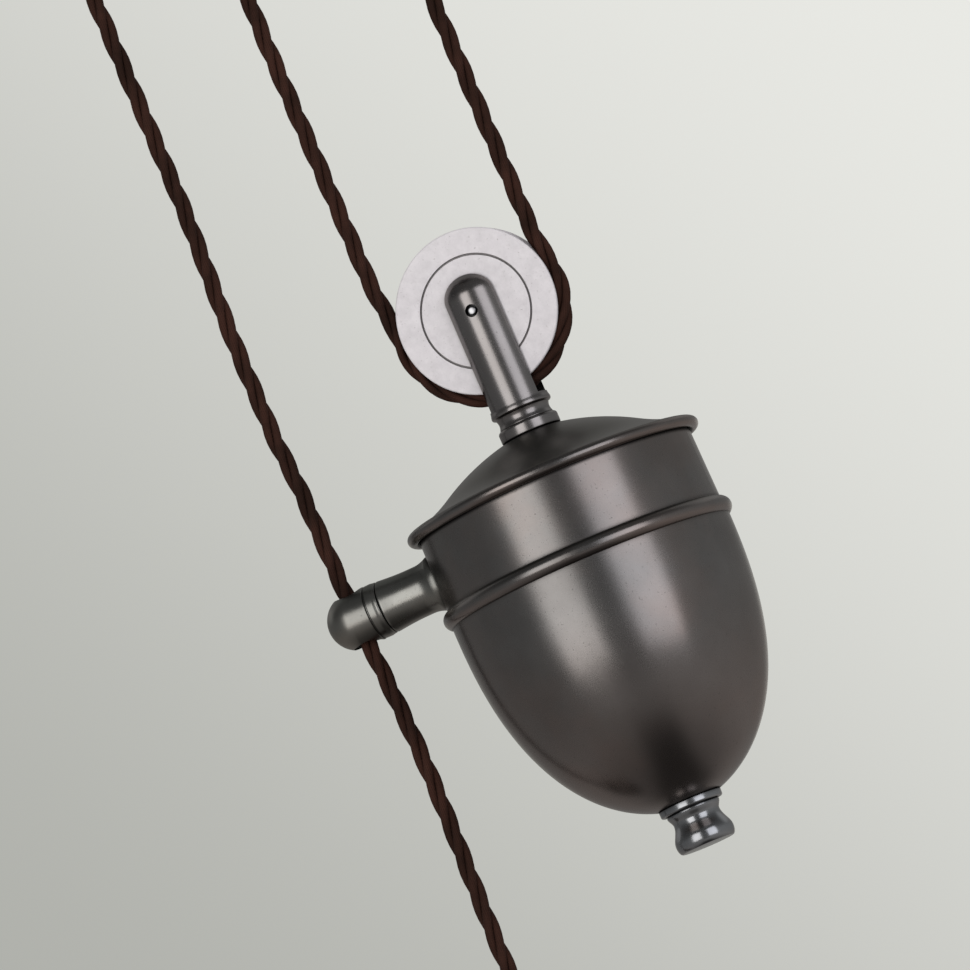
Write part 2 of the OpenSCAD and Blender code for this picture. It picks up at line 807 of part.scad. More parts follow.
// Turned knob under the bowl: flange, hollow neck and full knob
module bottom_finial() {
    cove_r = finial_neck_r + 1.3;
    neck_z = -finial_flange_h - 4.2;
    knob_z = -finial_h + 3.4;
    color(bronze) at_weight() translate([0, 0, bowl_base_z]) difference() {
        rotate_extrude() polygon(concat(
            [[0, 0], [finial_flange_r - 0.5, 0]],
            [[finial_flange_r, -0.5], [finial_flange_r, 0.6 - finial_flange_h]],
            [[finial_flange_r - 0.6, -finial_flange_h], [cove_r - 0.7, -finial_flange_h]],
            [[cove_r - 0.7, -finial_flange_h - 0.5]],
            ease(cove_r, finial_neck_r, -finial_flange_h - 0.6, neck_z),
            [for (i = [1:arc_n]) let (a = 180 * i / arc_n)
                [(finial_neck_r + finial_knob_r - (finial_knob_r - finial_neck_r) * cos(a)) / 2,
                    neck_z + (knob_z - neck_z) * i / arc_n]],
            [for (i = [1:arc_n]) let (a = 90 * i / arc_n)
                [finial_knob_r - 1.6 * (1 - cos(a)), knob_z - (finial_h + knob_z) * sin(a)]],
            [[0, -finial_h]]
        ));
        translate([0, 0, -stud_grip]) cylinder(r = stud_r, h = stud_grip + over);
    }
}

// Arm turned with a flared root that is saddled to the band, and a stud through the band's wall
module guide_arm() {
    spigot = 8;
    color(bronze) difference() {
        union() {
            difference() {
                along_arm() rotate_extrude() polygon(concat(
                    [[0, arm_root - 3], [arm_root_r, arm_root - 3]],
                    [for (i = [0:arc_n]) let (a = sweep_a * (1 - i / arc_n))
                        [arm_waist_r + arm_sweep_r * (1 - cos(a)), waist_start - arm_sweep_r * sin(a)]],
                    flare(arm_waist_r, arm_joint_r, waist_start + 3, joint_at - 0.7),
                    [[arm_joint_r - 0.8, joint_at], [0, joint_at]]
                ));
                at_weight() band_section(0, 0, 0);
            }
            along_arm() translate([0, 0, arm_root - saddle_t - nut_h - 4])
                cylinder(r = stud_r, h = saddle_t + nut_h + 6);
        }
        along_arm() translate([0, 0, joint_at - spigot]) cylinder(r = 3, h = spigot + over);
    }
}

// Round-ended eye, screwed to the arm, bored upright for the flex
module guide_eye() {
    spigot = 8;
    color(bronze) along_arm() difference() {
        union() {
            rotate_extrude() polygon(concat(
                [[0, joint_at], [arm_joint_r - 0.8, joint_at], [arm_joint_r + 0.1, joint_at + 0.6]],
                [[arm_joint_r + 0.35, (joint_at + groove_at) / 2]],
                [[arm_joint_r + 0.2, groove_at - 0.5], [arm_joint_r - 0.2, groove_at]],
                [[arm_joint_r + 0.4, groove_at + 0.5]],
                arc([0, eye_reach + eye_nose], eye_r, 0, 90)
            ));
            translate([0, 0, joint_at - spigot]) cylinder(r = 3, h = spigot + over);
        }
        translate([0, 0, eye_reach]) rotate([0, 90, 0]) cylinder(r = liner_r, h = 4 * eye_r, center = true);
    }
}

module eye_liner() {
    half = sqrt(eye_r * eye_r - liner_r * liner_r) - 0.2;
    color(iron) along_arm() translate([0, 0, eye_reach]) rotate([0, 90, 0])
        tube(liner_r, eye_bore_r, -half, 2 * half);
}

// Washer inside the band, with one face curved to the wall
module guide_washer() {
    color(steel) intersection() {
        at_weight() band_section(shell_t, 0, 0);
        along_arm() tube(saddle_r, stud_r + stud_gap, arm_root - shell_t - saddle_t, 2 * saddle_t);
    }
}

module guide_nut() {
    color(steel) along_arm() hex_nut(arm_root - shell_t - saddle_t - nut_h);
}

module lamp_grip() {
    color(bronze) at_lamp() rotate([180, 0, 0]) grip();
}

module lamp_grip_nut() {
    color(brass) at_lamp() translate([0, 0, cap_inner_top - ring_nut_h]) grip_nut();
}

module lamp_grip_screw() {
    color(brass) at_lamp() rotate([180, 0, 0]) grip_screw_body(grip_body_r - 1.5);
}

// Domed cap with a shoulder that a shade hangs from
module lamp_cap() {
    flat_r = grip_flange_r + 1;
    dome_h = cap_h - 4;
    function dome(cut) =
        [for (i = [0:arc_n]) let (a = 90 * i / arc_n)
            [flat_r + (skirt_r - flat_r + 0.5 - cut) * sin(a),
                cap_top - dome_h * (1 - cos(a)) - cut * cos(a)]];
    inside = dome(cap_t);
    color(bronze) at_lamp() rotate_extrude() polygon(concat(
        [[spigot_r + 0.1, cap_top]],
        dome(0),
        [[cap_r, cap_top - dome_h - 0.8], [cap_r, cap_foot + 0.6], [cap_r - 0.6, cap_foot]],
        [[insert_r, cap_foot], [skirt_r + 0.5 - cap_t, cap_foot + 1.2]],
        [for (i = [arc_n:-1:0]) inside[i]],
        [[spigot_r + 0.1, cap_inner_top]]
    ));
}

module lamp_skirt() {
    color(bronze) at_lamp() tube(skirt_r, insert_r, skirt_foot, skirt_h);
}

// Threaded ring that holds a shade up against the cap's shoulder, with finger notches
module shade_ring() {
    notch_r = 2.2;
    notches = 12;
    color(bronze) at_lamp() difference() {
        translate([0, 0, ring_top_z - shade_ring_h]) rotate_extrude() polygon([
            [skirt_r, 0],
            [shade_ring_r - 1.5, 0],
            [shade_ring_r, 1.2],
            [shade_ring_r, shade_ring_h - 1],
            [shade_ring_r - 1, shade_ring_h],
            [skirt_r, shade_ring_h]
        ]);
        for (i = [0:notches - 1])
            rotate([0, 0, 360 * i / notches])
                translate([shade_ring_r + 1.2, 0, ring_top_z - shade_ring_h - over])
                    cylinder(r = notch_r, h = shade_ring_h + 2 * over);
    }
}

module lamp_insert() {
    color(ceramic) at_lamp() difference() {
        translate([0, 0, insert_foot]) cylinder(r = insert_r, h = insert_top - insert_foot);
        translate([0, 0, insert_foot - over])
            cylinder(r = socket_r + socket_t, h = socket_roof - insert_foot + over);
        translate([0, 0, socket_roof - over]) cylinder(r = contact_room_r, h = contact_room_h + over);
        translate([0, 0, contact_roof - over]) cylinder(r = rivet_r, h = insert_roof_t + 2 * over);
    }
}

module socket_shell() {
    color(brass) at_lamp() tube(socket_r + socket_t, socket_r, socket_mouth, socket_h);
}

// Sprung tongue riveted to the roof of its room above the socket
module centre_contact() {
    strip_t = 0.6;
    strip_w = 5;
    bend = 3;
    fold = 6;
    upper_l = 9;
    lower_l = 8;
    color(brass) at_lamp() translate([0, 0, contact_roof]) {
        cylinder(r = rivet_r, h = insert_roof_t);
        translate([-fold, -strip_w / 2, -strip_t]) {
            cube([upper_l, strip_w, strip_t]);
            translate([0, 0, -bend]) cube([strip_t, strip_w, bend + strip_t]);
            translate([0, 0, -bend]) cube([lower_l, strip_w, strip_t]);
        }
    }
}

module lamp_terminals() {
    pitch = 18;
    size = [6, 5, 4.5];
    wire_r = 1.1;
    color(brass) at_lamp() for (side = [-1, 1])
        translate([side * pitch / 2, 0, insert_top]) difference() {
            translate([-size.x / 2, -size.y / 2, 0]) cube(size);
            translate([side * size.x / 2, 0, size.z / 2]) rotate([0, 90, 0])
                cylinder(r = wire_r, h = size.x / 2, center = true);
        }
}

module cord(z0, z1) {
    translate([0, 0, z0]) cylinder(r = cord_r, h = z1 - z0);
}

module half_turn(r) {
    rotate([90, 0, 0]) rotate_extrude(angle = 180) translate([r, 0]) circle(r = cord_r);
}

// From the mouth of the rose's grip up through it, over to the terminal block
module cord_rose_tail() {
    color(flex) union() {
        translate([fixed_x, 0, 0]) cord(rose_grip_z, rose_spigot_z);
        translate([fixed_x - tail_bend_r, 0, rose_spigot_z]) rotate([90, 0, 0])
            rotate_extrude(angle = 90) translate([tail_bend_r, 0]) circle(r = cord_r);
        translate([block_l / 2, 0, block_mid_z]) rotate([0, 90, 0])
            cylinder(r = cord_r, h = fixed_x - tail_bend_r - block_l / 2);
    }
}

module cord_fixed_run() {
    color(flex) translate([fixed_x, 0, 0]) cord(weight_axle_z, rose_grip_z);
}

module cord_weight_bend() {
    color(flex) at_weight() rotate([180, 0, 0]) half_turn(weight_line_r);
}

module cord_middle_run() {
    color(flex) translate([middle_x, 0, 0]) cord(weight_axle_z, ceiling_axle_z);
}

module cord_ceiling_bend() {
    color(flex) at_ceiling_axle() half_turn(ceiling_line_r);
}

module cord_lamp_run() {
    color(flex) translate([eye_x, 0, 0]) cord(lamp_z, ceiling_axle_z);
}

module cord_lamp_tail() {
    color(flex) at_lamp() cord(insert_top, 0);
}

rose_cup();
ceiling_strap();
cover_screws();
terminal_block();
terminal_screws();
earth_screw();
rose_grip();
rose_grip_nut();
rose_grip_screw();
ceiling_yoke();
ceiling_stud();
ceiling_washer();
ceiling_nut();
ceiling_axle();
ceiling_wheel();
ceiling_bush();
weight_yoke();
weight_axle();
weight_wheel();
weight_bush();
weight_lid();
weight_band();
weight_bowl();
tie_rod();
lid_washer();
lid_nut();
ballast_lower();
ballast_middle();
ballast_upper();
ballast_washer();
ballast_nut();
bottom_finial();
guide_arm();
guide_eye();
eye_liner();
guide_washer();
guide_nut();
lamp_grip();
lamp_grip_nut();
lamp_grip_screw();
lamp_cap();
lamp_skirt();
shade_ring();
lamp_insert();
socket_shell();
centre_contact();
lamp_terminals();
cord_rose_tail();
cord_fixed_run();
cord_weight_bend();
cord_middle_run();
cord_ceiling_bend();
cord_lamp_run();
cord_lamp_tail();
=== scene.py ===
"""Looks of the rise-and-fall pendant: twisted flex, patinated metal, fine turned and threaded pieces, studio.

Metres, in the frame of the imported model: +Z up, the flex runs in the XZ plane, the wheels turn about Y.
Outlines of turned pieces, and the names that hold their sizes, are in millimetres.
"""

import json
import math

import bmesh
import bpy
from mathutils import Matrix, Vector


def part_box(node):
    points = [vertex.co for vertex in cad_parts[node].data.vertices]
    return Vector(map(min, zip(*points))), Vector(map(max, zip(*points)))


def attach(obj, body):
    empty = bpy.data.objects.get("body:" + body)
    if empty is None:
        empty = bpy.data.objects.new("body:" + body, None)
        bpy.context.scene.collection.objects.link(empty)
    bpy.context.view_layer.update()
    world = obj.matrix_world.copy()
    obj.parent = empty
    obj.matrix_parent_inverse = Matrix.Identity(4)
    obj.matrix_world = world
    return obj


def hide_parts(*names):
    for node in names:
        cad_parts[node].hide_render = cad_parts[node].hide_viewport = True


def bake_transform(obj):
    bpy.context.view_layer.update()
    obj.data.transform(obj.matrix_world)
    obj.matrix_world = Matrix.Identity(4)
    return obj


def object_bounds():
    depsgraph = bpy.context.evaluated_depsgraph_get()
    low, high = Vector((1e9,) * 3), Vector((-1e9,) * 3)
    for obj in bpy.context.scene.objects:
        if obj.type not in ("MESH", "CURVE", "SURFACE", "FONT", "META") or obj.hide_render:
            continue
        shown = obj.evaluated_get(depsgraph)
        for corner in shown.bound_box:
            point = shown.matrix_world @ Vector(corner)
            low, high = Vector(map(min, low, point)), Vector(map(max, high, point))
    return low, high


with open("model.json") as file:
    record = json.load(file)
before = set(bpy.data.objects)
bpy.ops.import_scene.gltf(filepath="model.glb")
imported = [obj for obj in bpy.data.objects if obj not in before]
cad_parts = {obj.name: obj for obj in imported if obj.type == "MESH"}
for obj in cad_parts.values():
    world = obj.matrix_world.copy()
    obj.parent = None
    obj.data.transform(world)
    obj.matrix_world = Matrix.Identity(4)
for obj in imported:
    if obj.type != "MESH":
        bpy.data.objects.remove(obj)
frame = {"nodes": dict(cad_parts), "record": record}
cad_low, cad_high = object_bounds()

MM = 0.001
Z = Vector((0, 0, 1))
Y = Vector((0, 1, 0))


def middle(node):
    low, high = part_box(node)
    return (low + high) / 2


def radius_of(node):
    low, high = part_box(node)
    return (high.x - low.x) / 2


LOW_AXLE = middle("weight_axle")
HIGH_AXLE = middle("ceiling_axle")
FIXED_X = middle("cord_fixed_run").x
MIDDLE_X = middle("cord_middle_run").x
LAMP_X = middle("cord_lamp_run").x
CORD_R = radius_of("cord_fixed_run")
ROSE_GRIP_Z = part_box("cord_fixed_run")[1].z
LAMP_GRIP_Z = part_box("cord_lamp_run")[0].z

# The photograph's camera, seen with its roll taken out
VIEW_AZIMUTH = math.radians(14)
VIEW_ELEVATION = math.radians(-6.2)
VIEW_ROLL = math.radians(23.2)
VIEW_DISTANCE = 4.0
VIEW_WIDTH = 371.9 * MM
AIM_RIGHT = -24.3 * MM
AIM_UP = -62.1 * MM
SENSOR = 36.0

forward = Vector((
    -math.sin(VIEW_AZIMUTH) * math.cos(VIEW_ELEVATION),
    math.cos(VIEW_AZIMUTH) * math.cos(VIEW_ELEVATION),
    -math.sin(VIEW_ELEVATION),
))
level_right = Vector((math.cos(VIEW_AZIMUTH), math.sin(VIEW_AZIMUTH), 0))
level_up = level_right.cross(forward)


def make_camera():
    data = bpy.data.cameras.new("camera")
    data.sensor_width = SENSOR
    data.lens = SENSOR * VIEW_DISTANCE / VIEW_WIDTH
    data.clip_start = 0.1
    data.clip_end = 100
    camera = bpy.data.objects.new("camera", data)
    bpy.context.scene.collection.objects.link(camera)
    aim = LOW_AXLE + AIM_RIGHT * level_right + AIM_UP * level_up
    right = level_right * math.cos(VIEW_ROLL) - level_up * math.sin(VIEW_ROLL)
    up = level_up * math.cos(VIEW_ROLL) + level_right * math.sin(VIEW_ROLL)
    turn = Matrix((right, up, -forward)).transposed().to_4x4()
    camera.matrix_world = Matrix.Translation(aim - VIEW_DISTANCE * forward) @ turn
    bpy.context.scene.camera = camera
    return right, up


photo_right, photo_up = make_camera()


# Mesh helpers

def add_mesh(name, points, faces, uvs=None, smooth=True):
    """A mesh object; uvs gives one (u, v) for each corner of each face."""
    data = bpy.data.meshes.new(name)
    data.from_pydata([tuple(p) for p in points], [], faces)
    if uvs is not None:
        layer = data.uv_layers.new(name="UVMap")
        for corner, uv in enumerate(uvs):
            layer.data[corner].uv = uv
    data.polygons.foreach_set("use_smooth", [smooth] * len(data.polygons))
    data.validate()
    obj = bpy.data.objects.new(name, data)
    bpy.context.scene.collection.objects.link(obj)
    return obj


def lathe(name, outline, origin, axis=Z, sides=144):
    """A turned solid. The outline gives (radius, distance along the axis) in millimetres, all round its
    section or from one point on the axis to another."""
    across = Vector((1, 0, 0)) if abs(axis.x) < 0.5 else Y
    third = axis.cross(across)
    rings, points = [], []
    for radius, along in outline:
        centre = origin + axis * (along * MM)
        if radius < 1e-6:
            rings.append([len(points)] * sides)
            points.append(centre)
            continue
        rings.append(range(len(points), len(points) + sides))
        for k in range(sides):
            a = 2 * math.pi * k / sides
            points.append(centre + (across * math.cos(a) + third * math.sin(a)) * (radius * MM))
    pairs = list(zip(rings, rings[1:]))
    if outline[0][0] > 1e-6:
        pairs.append((rings[-1], rings[0]))
    faces = []
    for near, far in pairs:
        for k in range(sides):
            n = (k + 1) % sides
            corners = list(dict.fromkeys((near[k], near[n], far[n], far[k])))
            if len(corners) > 2:
                faces.append(corners)
    return crisp(add_mesh(name, points, faces))


def crisp(piece, angle=30):
    """Faces out, smooth except where two faces meet at more than the angle."""
    shape = bmesh.new()
    shape.from_mesh(piece.data)
    bmesh.ops.recalc_face_normals(shape, faces=shape.faces)
    for face in shape.faces:
        face.smooth = True
    shape.to_mesh(piece.data)
    shape.free()
    piece.data.set_sharp_from_angle(angle=math.radians(angle))
    return piece


def block(name, centre, size):
    """A cutter with square corners; size is its full length along each axis."""
    points = [centre + Vector((x * size[0], y * size[1], z * size[2])) / 2
              for x in (-1, 1) for y in (-1, 1) for z in (-1, 1)]
    faces = [(0, 1, 3, 2), (4, 6, 7, 5), (0, 4, 5, 1), (2, 3, 7, 6), (0, 2, 6, 4), (1, 5, 7, 3)]
    return add_mesh(name, points, faces, smooth=False)


def drill(origin, axis, radius, length, sides=64):
    """A round cutter of the given radius and length in millimetres, centred on the origin."""
    return lathe("drill", [(0, -length / 2), (radius, -length / 2), (radius, length / 2), (0, length / 2)],
                 origin, axis, sides)


def carve(piece, cutters, operation="DIFFERENCE"):
    """Takes each cutter's shape out of the piece, or adds it, and throws the cutters away."""
    for cutter in cutters:
        step = piece.modifiers.new("carve", "BOOLEAN")
        step.operation = operation
        step.solver = "EXACT"
        step.object = cutter
    bpy.context.view_layer.update()
    shaped = bpy.data.meshes.new_from_object(piece.evaluated_get(bpy.context.evaluated_depsgraph_get()))
    piece.modifiers.clear()
    piece.data = shaped
    for cutter in cutters:
        bpy.data.objects.remove(cutter)
    return crisp(piece)


def stand_for(piece, node, body, finish):
    """The piece takes the node's place on its body."""
    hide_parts(node)
    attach(piece, body)
    new_pieces.append((piece, finish))
    return piece


new_pieces = []


# Stretches of a turned outline, in millimetres

def arc(radius, height, bend, start, end, steps=24):
    """Round stretch of radius bend about (radius, height), angles in degrees from straight outwards."""
    angles = [math.radians(start + (end - start) * i / steps) for i in range(steps + 1)]
    return [(radius + bend * math.cos(a), height + bend * math.sin(a)) for a in angles]


def ease(r0, r1, z0, z1, steps=20):
    """Smooth slope from one radius to another."""
    return [(r0 + (r1 - r0) * (1 - math.cos(math.pi * i / steps)) / 2, z0 + (z1 - z0) * i / steps)
            for i in range(steps + 1)]


def flare(r0, r1, z0, z1, steps=20):
    """A slope that starts level and steepens, from z0 to z1."""
    return [(r0 + (r1 - r0) * (1 - math.cos(math.pi / 2 * i / steps)), z0 + (z1 - z0) * i / steps)
            for i in range(steps + 1)]


def hollow(radius, deep, z0, z1, steps=20):
    """Shallow cove, deepest in its middle."""
    return [(radius - deep * math.sin(math.pi * i / steps), z0 + (z1 - z0) * i / steps)
            for i in range(steps + 1)]


def level(z):
    """Height above the lower axle, in millimetres."""
    return (z - LOW_AXLE.z) / MM


class Route:
    """A stretch of the flex's centre line: point and direction at a distance from its start."""

    def __init__(self, length, at):
        self.length = length
        self.at = at


def straight(start, end):
    run = end - start
    direction = run.normalized()
    return Route(run.length, lambda s: (start + direction * s, direction))


def bowed(start, end, bends):
    """A plumb run that strays sideways; bends are (height over the lower axle, offset along X) in
    millimetres, from the top down."""
    run = straight(start, end)

    def offset(z):
        above = level(z)
        for (high, high_offset), (low, low_offset) in zip(bends, bends[1:]):
            if low <= above <= high:
                t = (above - low) / (high - low)
                return (low_offset + (high_offset - low_offset) * t * t * (3 - 2 * t)) * MM
        return 0.0

    def at(s):
        centre, direction = run.at(s)
        return centre + Vector((offset(centre.z), 0, 0)), direction

    return Route(run.length, at)


def turn_round(centre, radius, start_angle, sweep):
    """An arc in the XZ plane; angles from +X towards +Z."""
    side = 1 if sweep > 0 else -1

    def at(s):
        a = start_angle + side * s / radius
        out = Vector((math.cos(a), 0, math.sin(a)))
        ahead = Vector((-math.sin(a), 0, math.cos(a))) * side
        return centre + out * radius, ahead

    return Route(abs(sweep) * radius, at)


# Twisted flex: three braided strands in a right-handed twist

LAY = 45.6 * MM
STRANDS = 3
STRAND_R = CORD_R / (1 + 2 / math.sqrt(3))
TWIST_R = CORD_R - STRAND_R
STRAND_SIDES = 14
STEP = 1.2 * MM
TWIST_START = math.radians(200)


def strand_frame(route, s, travelled, strand):
    """Centre of a strand and the two directions across it."""
    centre, ahead = route.at(s)
    inward = Y.cross(ahead)
    a = TWIST_START + 2 * math.pi * ((travelled + s) / LAY + strand / STRANDS)
    out = inward * math.cos(a) + Y * math.sin(a)
    round_ = Y * math.cos(a) - inward * math.sin(a)
    lean = math.atan2(2 * math.pi * TWIST_R, LAY)
    side = round_ * math.cos(lean) - ahead * math.sin(lean)
    return centre + out * TWIST_R, out, side


def twisted(name, routes, travelled, ends=0.0):
    """The flex along joined routes, as one mesh; ends lengthens it at both ends."""
    total = sum(r.length for r in routes)
    steps = max(2, round((total + 2 * ends) / STEP))
    points, faces, uvs = [], [], []
    for strand in range(STRANDS):
        base = len(points)
        for i in range(steps + 1):
            s = -ends + (total + 2 * ends) * i / steps
            route, local = routes[0], s
            for r in routes:
                route = r
                if local <= r.length:
                    break
                if r is not routes[-1]:
                    local -= r.length
            centre, out, side = strand_frame(route, local, travelled + s - local, strand)
            for k in range(STRAND_SIDES):
                a = 2 * math.pi * k / STRAND_SIDES
                points.append(centre + (out * math.cos(a) + side * math.sin(a)) * STRAND_R)
        for i in range(steps):
            for k in range(STRAND_SIDES):
                n = (k + 1) % STRAND_SIDES
                row = base + i * STRAND_SIDES
                faces.append((row + k, row + n, row + STRAND_SIDES + n, row + STRAND_SIDES + k))
                v0 = (travelled + total * i / steps) / STRAND_R
                v1 = (travelled + total * (i + 1) / steps) / STRAND_R
                u0, u1 = k / STRAND_SIDES, (k + 1) / STRAND_SIDES
                uvs += [(u0, v0), (u1, v0), (u1, v1), (u0, v1)]
    return add_mesh(name, points, faces, uvs)


LOW_LINE_R = (FIXED_X - MIDDLE_X) / 2
HIGH_LINE_R = (MIDDLE_X - LAMP_X) / 2
tail_low, tail_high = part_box("cord_rose_tail")
BLOCK_Z = tail_high.z - CORD_R
TAIL_START_X = tail_low.x
TAIL_BEND_R = 20.5 * MM

# How the photographed runs stray from plumb: (height over the lower axle, offset along X), from the top
FIXED_STRAY = (190, 0), (110, -2.0), (22, -2.0), (0, 0)
MIDDLE_STRAY = (200, 0), (125, -2.4), (32, -2.1), (0, 0)
LAMP_STRAY = (95, 0), (18, -2.6), (-8, -2.6), (-38, -1.2), (-68, -1.0), (-150, 1.8), (-235, 0)

tail_centre = Vector((FIXED_X - TAIL_BEND_R, 0, BLOCK_Z - TAIL_BEND_R))
rose_tail = [
    straight(Vector((TAIL_START_X, 0, BLOCK_Z)), Vector((FIXED_X - TAIL_BEND_R, 0, BLOCK_Z))),
    turn_round(tail_centre, TAIL_BEND_R, math.pi / 2, -math.pi / 2),
    straight(Vector((FIXED_X, 0, BLOCK_Z - TAIL_BEND_R)), Vector((FIXED_X, 0, ROSE_GRIP_Z))),
]
fixed_run = [bowed(Vector((FIXED_X, 0, ROSE_GRIP_Z)), Vector((FIXED_X, 0, LOW_AXLE.z)), FIXED_STRAY)]
low_turn = [turn_round(LOW_AXLE, LOW_LINE_R, 0, -math.pi)]
middle_run = [bowed(Vector((MIDDLE_X, 0, LOW_AXLE.z)), Vector((MIDDLE_X, 0, HIGH_AXLE.z)), MIDDLE_STRAY)]
high_turn = [turn_round(HIGH_AXLE, HIGH_LINE_R, 0, math.pi)]
lamp_run = [bowed(Vector((LAMP_X, 0, HIGH_AXLE.z)), Vector((LAMP_X, 0, LAMP_GRIP_Z)), LAMP_STRAY)]
LAMP_TAIL_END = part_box("cord_lamp_tail")[0].z
lamp_tail = [straight(Vector((LAMP_X, 0, LAMP_GRIP_Z)), Vector((LAMP_X, 0, LAMP_TAIL_END)))]

travelled = 0.0
flex = {}
for cad_node, routes in (
    ("cord_rose_tail", rose_tail),
    ("cord_fixed_run", fixed_run),
    ("cord_weight_bend", low_turn),
    ("cord_middle_run", middle_run),
    ("cord_ceiling_bend", high_turn),
    ("cord_lamp_run", lamp_run),
    ("cord_lamp_tail", lamp_tail),
):
    piece = twisted(cad_node.replace("cord_", "flex_"), routes, travelled)
    travelled += sum(r.length for r in routes)
    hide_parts(cad_node)
    new_pieces.append((piece, "brown_flex"))
    flex[piece.name] = piece

for name, body in (("flex_rose_tail", "ceiling"), ("flex_weight_bend", "weight"),
                   ("flex_ceiling_bend", "ceiling"), ("flex_lamp_tail", "lamp")):
    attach(flex[name], body)


def hold_ends(name, run):
    """Bakes the run's placement into its mesh; the ends that it finds are not used."""
    lower, upper = sorted((run.at(s)[0] for s in (0, run.length)), key=lambda point: point.z)
    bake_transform(flex[name])


hold_ends("flex_fixed_run", fixed_run[0])
hold_ends("flex_middle_run", middle_run[0])
hold_ends("flex_lamp_run", lamp_run[0])


# Turned pieces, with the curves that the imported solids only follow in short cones

STUD_R, STUD_HOLE_R = 4.0, 4.3
CORD_HOLE_R = 5.1
SHELL_T = 1.3

lid_low, lid_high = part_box("weight_lid")
band_low, band_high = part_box("weight_band")

BAND_FOOT_R = (band_high.y - band_low.y) / 2 / MM
BAND_TAPER = 0.6
BAND_TOP_R = BAND_FOOT_R - BAND_TAPER
BAND_TOP_Z = level(band_high.z)
BAND_FOOT_Z = level(band_low.z)
LIP_H, LIP_GAP = 4.0, 0.2

# Lid: a crown that steepens, a hollow sweep that eases off, and a rolled rim
LID_R = (lid_high.y - lid_low.y) / 2 / MM
SEAT_R, SEAT_Z = 12.6, level(lid_high.z)
RIM_R, RIM_LIFT = 2.3, 0.7
RIM_LINE_R = LID_R - RIM_R
RIM_Z = BAND_TOP_Z + RIM_LIFT
CROWN_START, CROWN_END, SWEEP_END = (math.radians(a) for a in (12.5, 31, 14))
SWEEP_R, SWEEP_STOP = 60.0, RIM_LINE_R - 1
CROWN_R = ((SWEEP_STOP - SEAT_R - SWEEP_R * (math.sin(CROWN_END) - math.sin(SWEEP_END)))
           / (math.sin(CROWN_END) - math.sin(CROWN_START)))


def lid_surface(steps=40):
    """The lid's top, from its seat out to the rim."""
    points = []
    for i in range(steps + 1):
        a = CROWN_START + (CROWN_END - CROWN_START) * i / steps
        points.append((SEAT_R + CROWN_R * (math.sin(a) - math.sin(CROWN_START)),
                       SEAT_Z - CROWN_R * (math.cos(CROWN_START) - math.cos(a))))
    turn_r, turn_z = points[-1]
    for i in range(1, steps + 1):
        a = CROWN_END + (SWEEP_END - CROWN_END) * i / steps
        points.append((turn_r + SWEEP_R * (math.sin(CROWN_END) - math.sin(a)),
                       turn_z - SWEEP_R * (math.cos(a) - math.cos(CROWN_END))))
    return points


upper = [p for p in lid_surface() if math.dist(p, (RIM_LINE_R, RIM_Z)) > RIM_R]
rim_start = math.degrees(math.atan2(upper[-1][1] - RIM_Z, upper[-1][0] - RIM_LINE_R)) - 2
rim_end = -180 + math.degrees(math.asin(RIM_LIFT / RIM_R))
lid_lip_r = BAND_TOP_R - SHELL_T - LIP_GAP
stand_for(lathe(
    "turned_lid",
    [(STUD_HOLE_R, SEAT_Z)] + upper + arc(RIM_LINE_R, RIM_Z, RIM_R, rim_start, rim_end, 48)
    + [(lid_lip_r, BAND_TOP_Z), (lid_lip_r, BAND_TOP_Z - LIP_H), (lid_lip_r - SHELL_T, BAND_TOP_Z - LIP_H)]
    + [(r, z - SHELL_T) for r, z in reversed(upper) if r < lid_lip_r - SHELL_T]
    + [(STUD_HOLE_R, SEAT_Z - SHELL_T)],
    LOW_AXLE, sides=192), "weight_lid", "weight", "aged_bronze")

# Bowl: a lip inside the band, a bead round the mouth, and an acorn's outline down to a small flat
BEAD_R, BEAD_GAP = 3.6, 0.2
BEAD_Z = BAND_FOOT_Z - BEAD_R - BEAD_GAP
BEAD_LINE_R = BAND_FOOT_R - 0.5
BOWL_R = BAND_FOOT_R + 0.85
BOWL_TOP = BEAD_Z - BEAD_R + 0.1
BOWL_H, BASE_R, FULLNESS = 97.2, 13.4, 2.45
BASE_Z = level(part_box("weight_bowl")[0].z)


def bowl_outline(mouth_r, depth, foot_r, steps=96):
    """Fuller than an ellipse by the power FULLNESS, cut off at the foot's radius."""
    last = math.acos(foot_r / mouth_r)
    return [(mouth_r * math.cos(last * i / steps),
             BOWL_TOP - depth * math.sin(last * i / steps) ** (2 / FULLNESS)) for i in range(steps + 1)]


bead_foot = -math.degrees(math.acos((BOWL_R - BEAD_LINE_R) / BEAD_R))
bowl_lip_r = BAND_FOOT_R - SHELL_T - LIP_GAP
inside = bowl_outline(BOWL_R - SHELL_T, BOWL_H - SHELL_T, BASE_R - 1)[::-1]
stand_for(lathe(
    "turned_bowl",
    [(bowl_lip_r - SHELL_T, BAND_FOOT_Z + LIP_H), (bowl_lip_r, BAND_FOOT_Z + LIP_H),
     (bowl_lip_r, BAND_FOOT_Z), (BAND_FOOT_R, BAND_FOOT_Z)]
    + arc(BEAD_LINE_R, BEAD_Z, BEAD_R, 81, bead_foot, 48)
    + bowl_outline(BOWL_R, BOWL_H, BASE_R) + [(STUD_HOLE_R, BASE_Z), (STUD_HOLE_R, inside[0][1])]
    + inside + [(bowl_lip_r - SHELL_T, BOWL_TOP)],
    LOW_AXLE, sides=192), "weight_bowl", "weight", "aged_bronze")

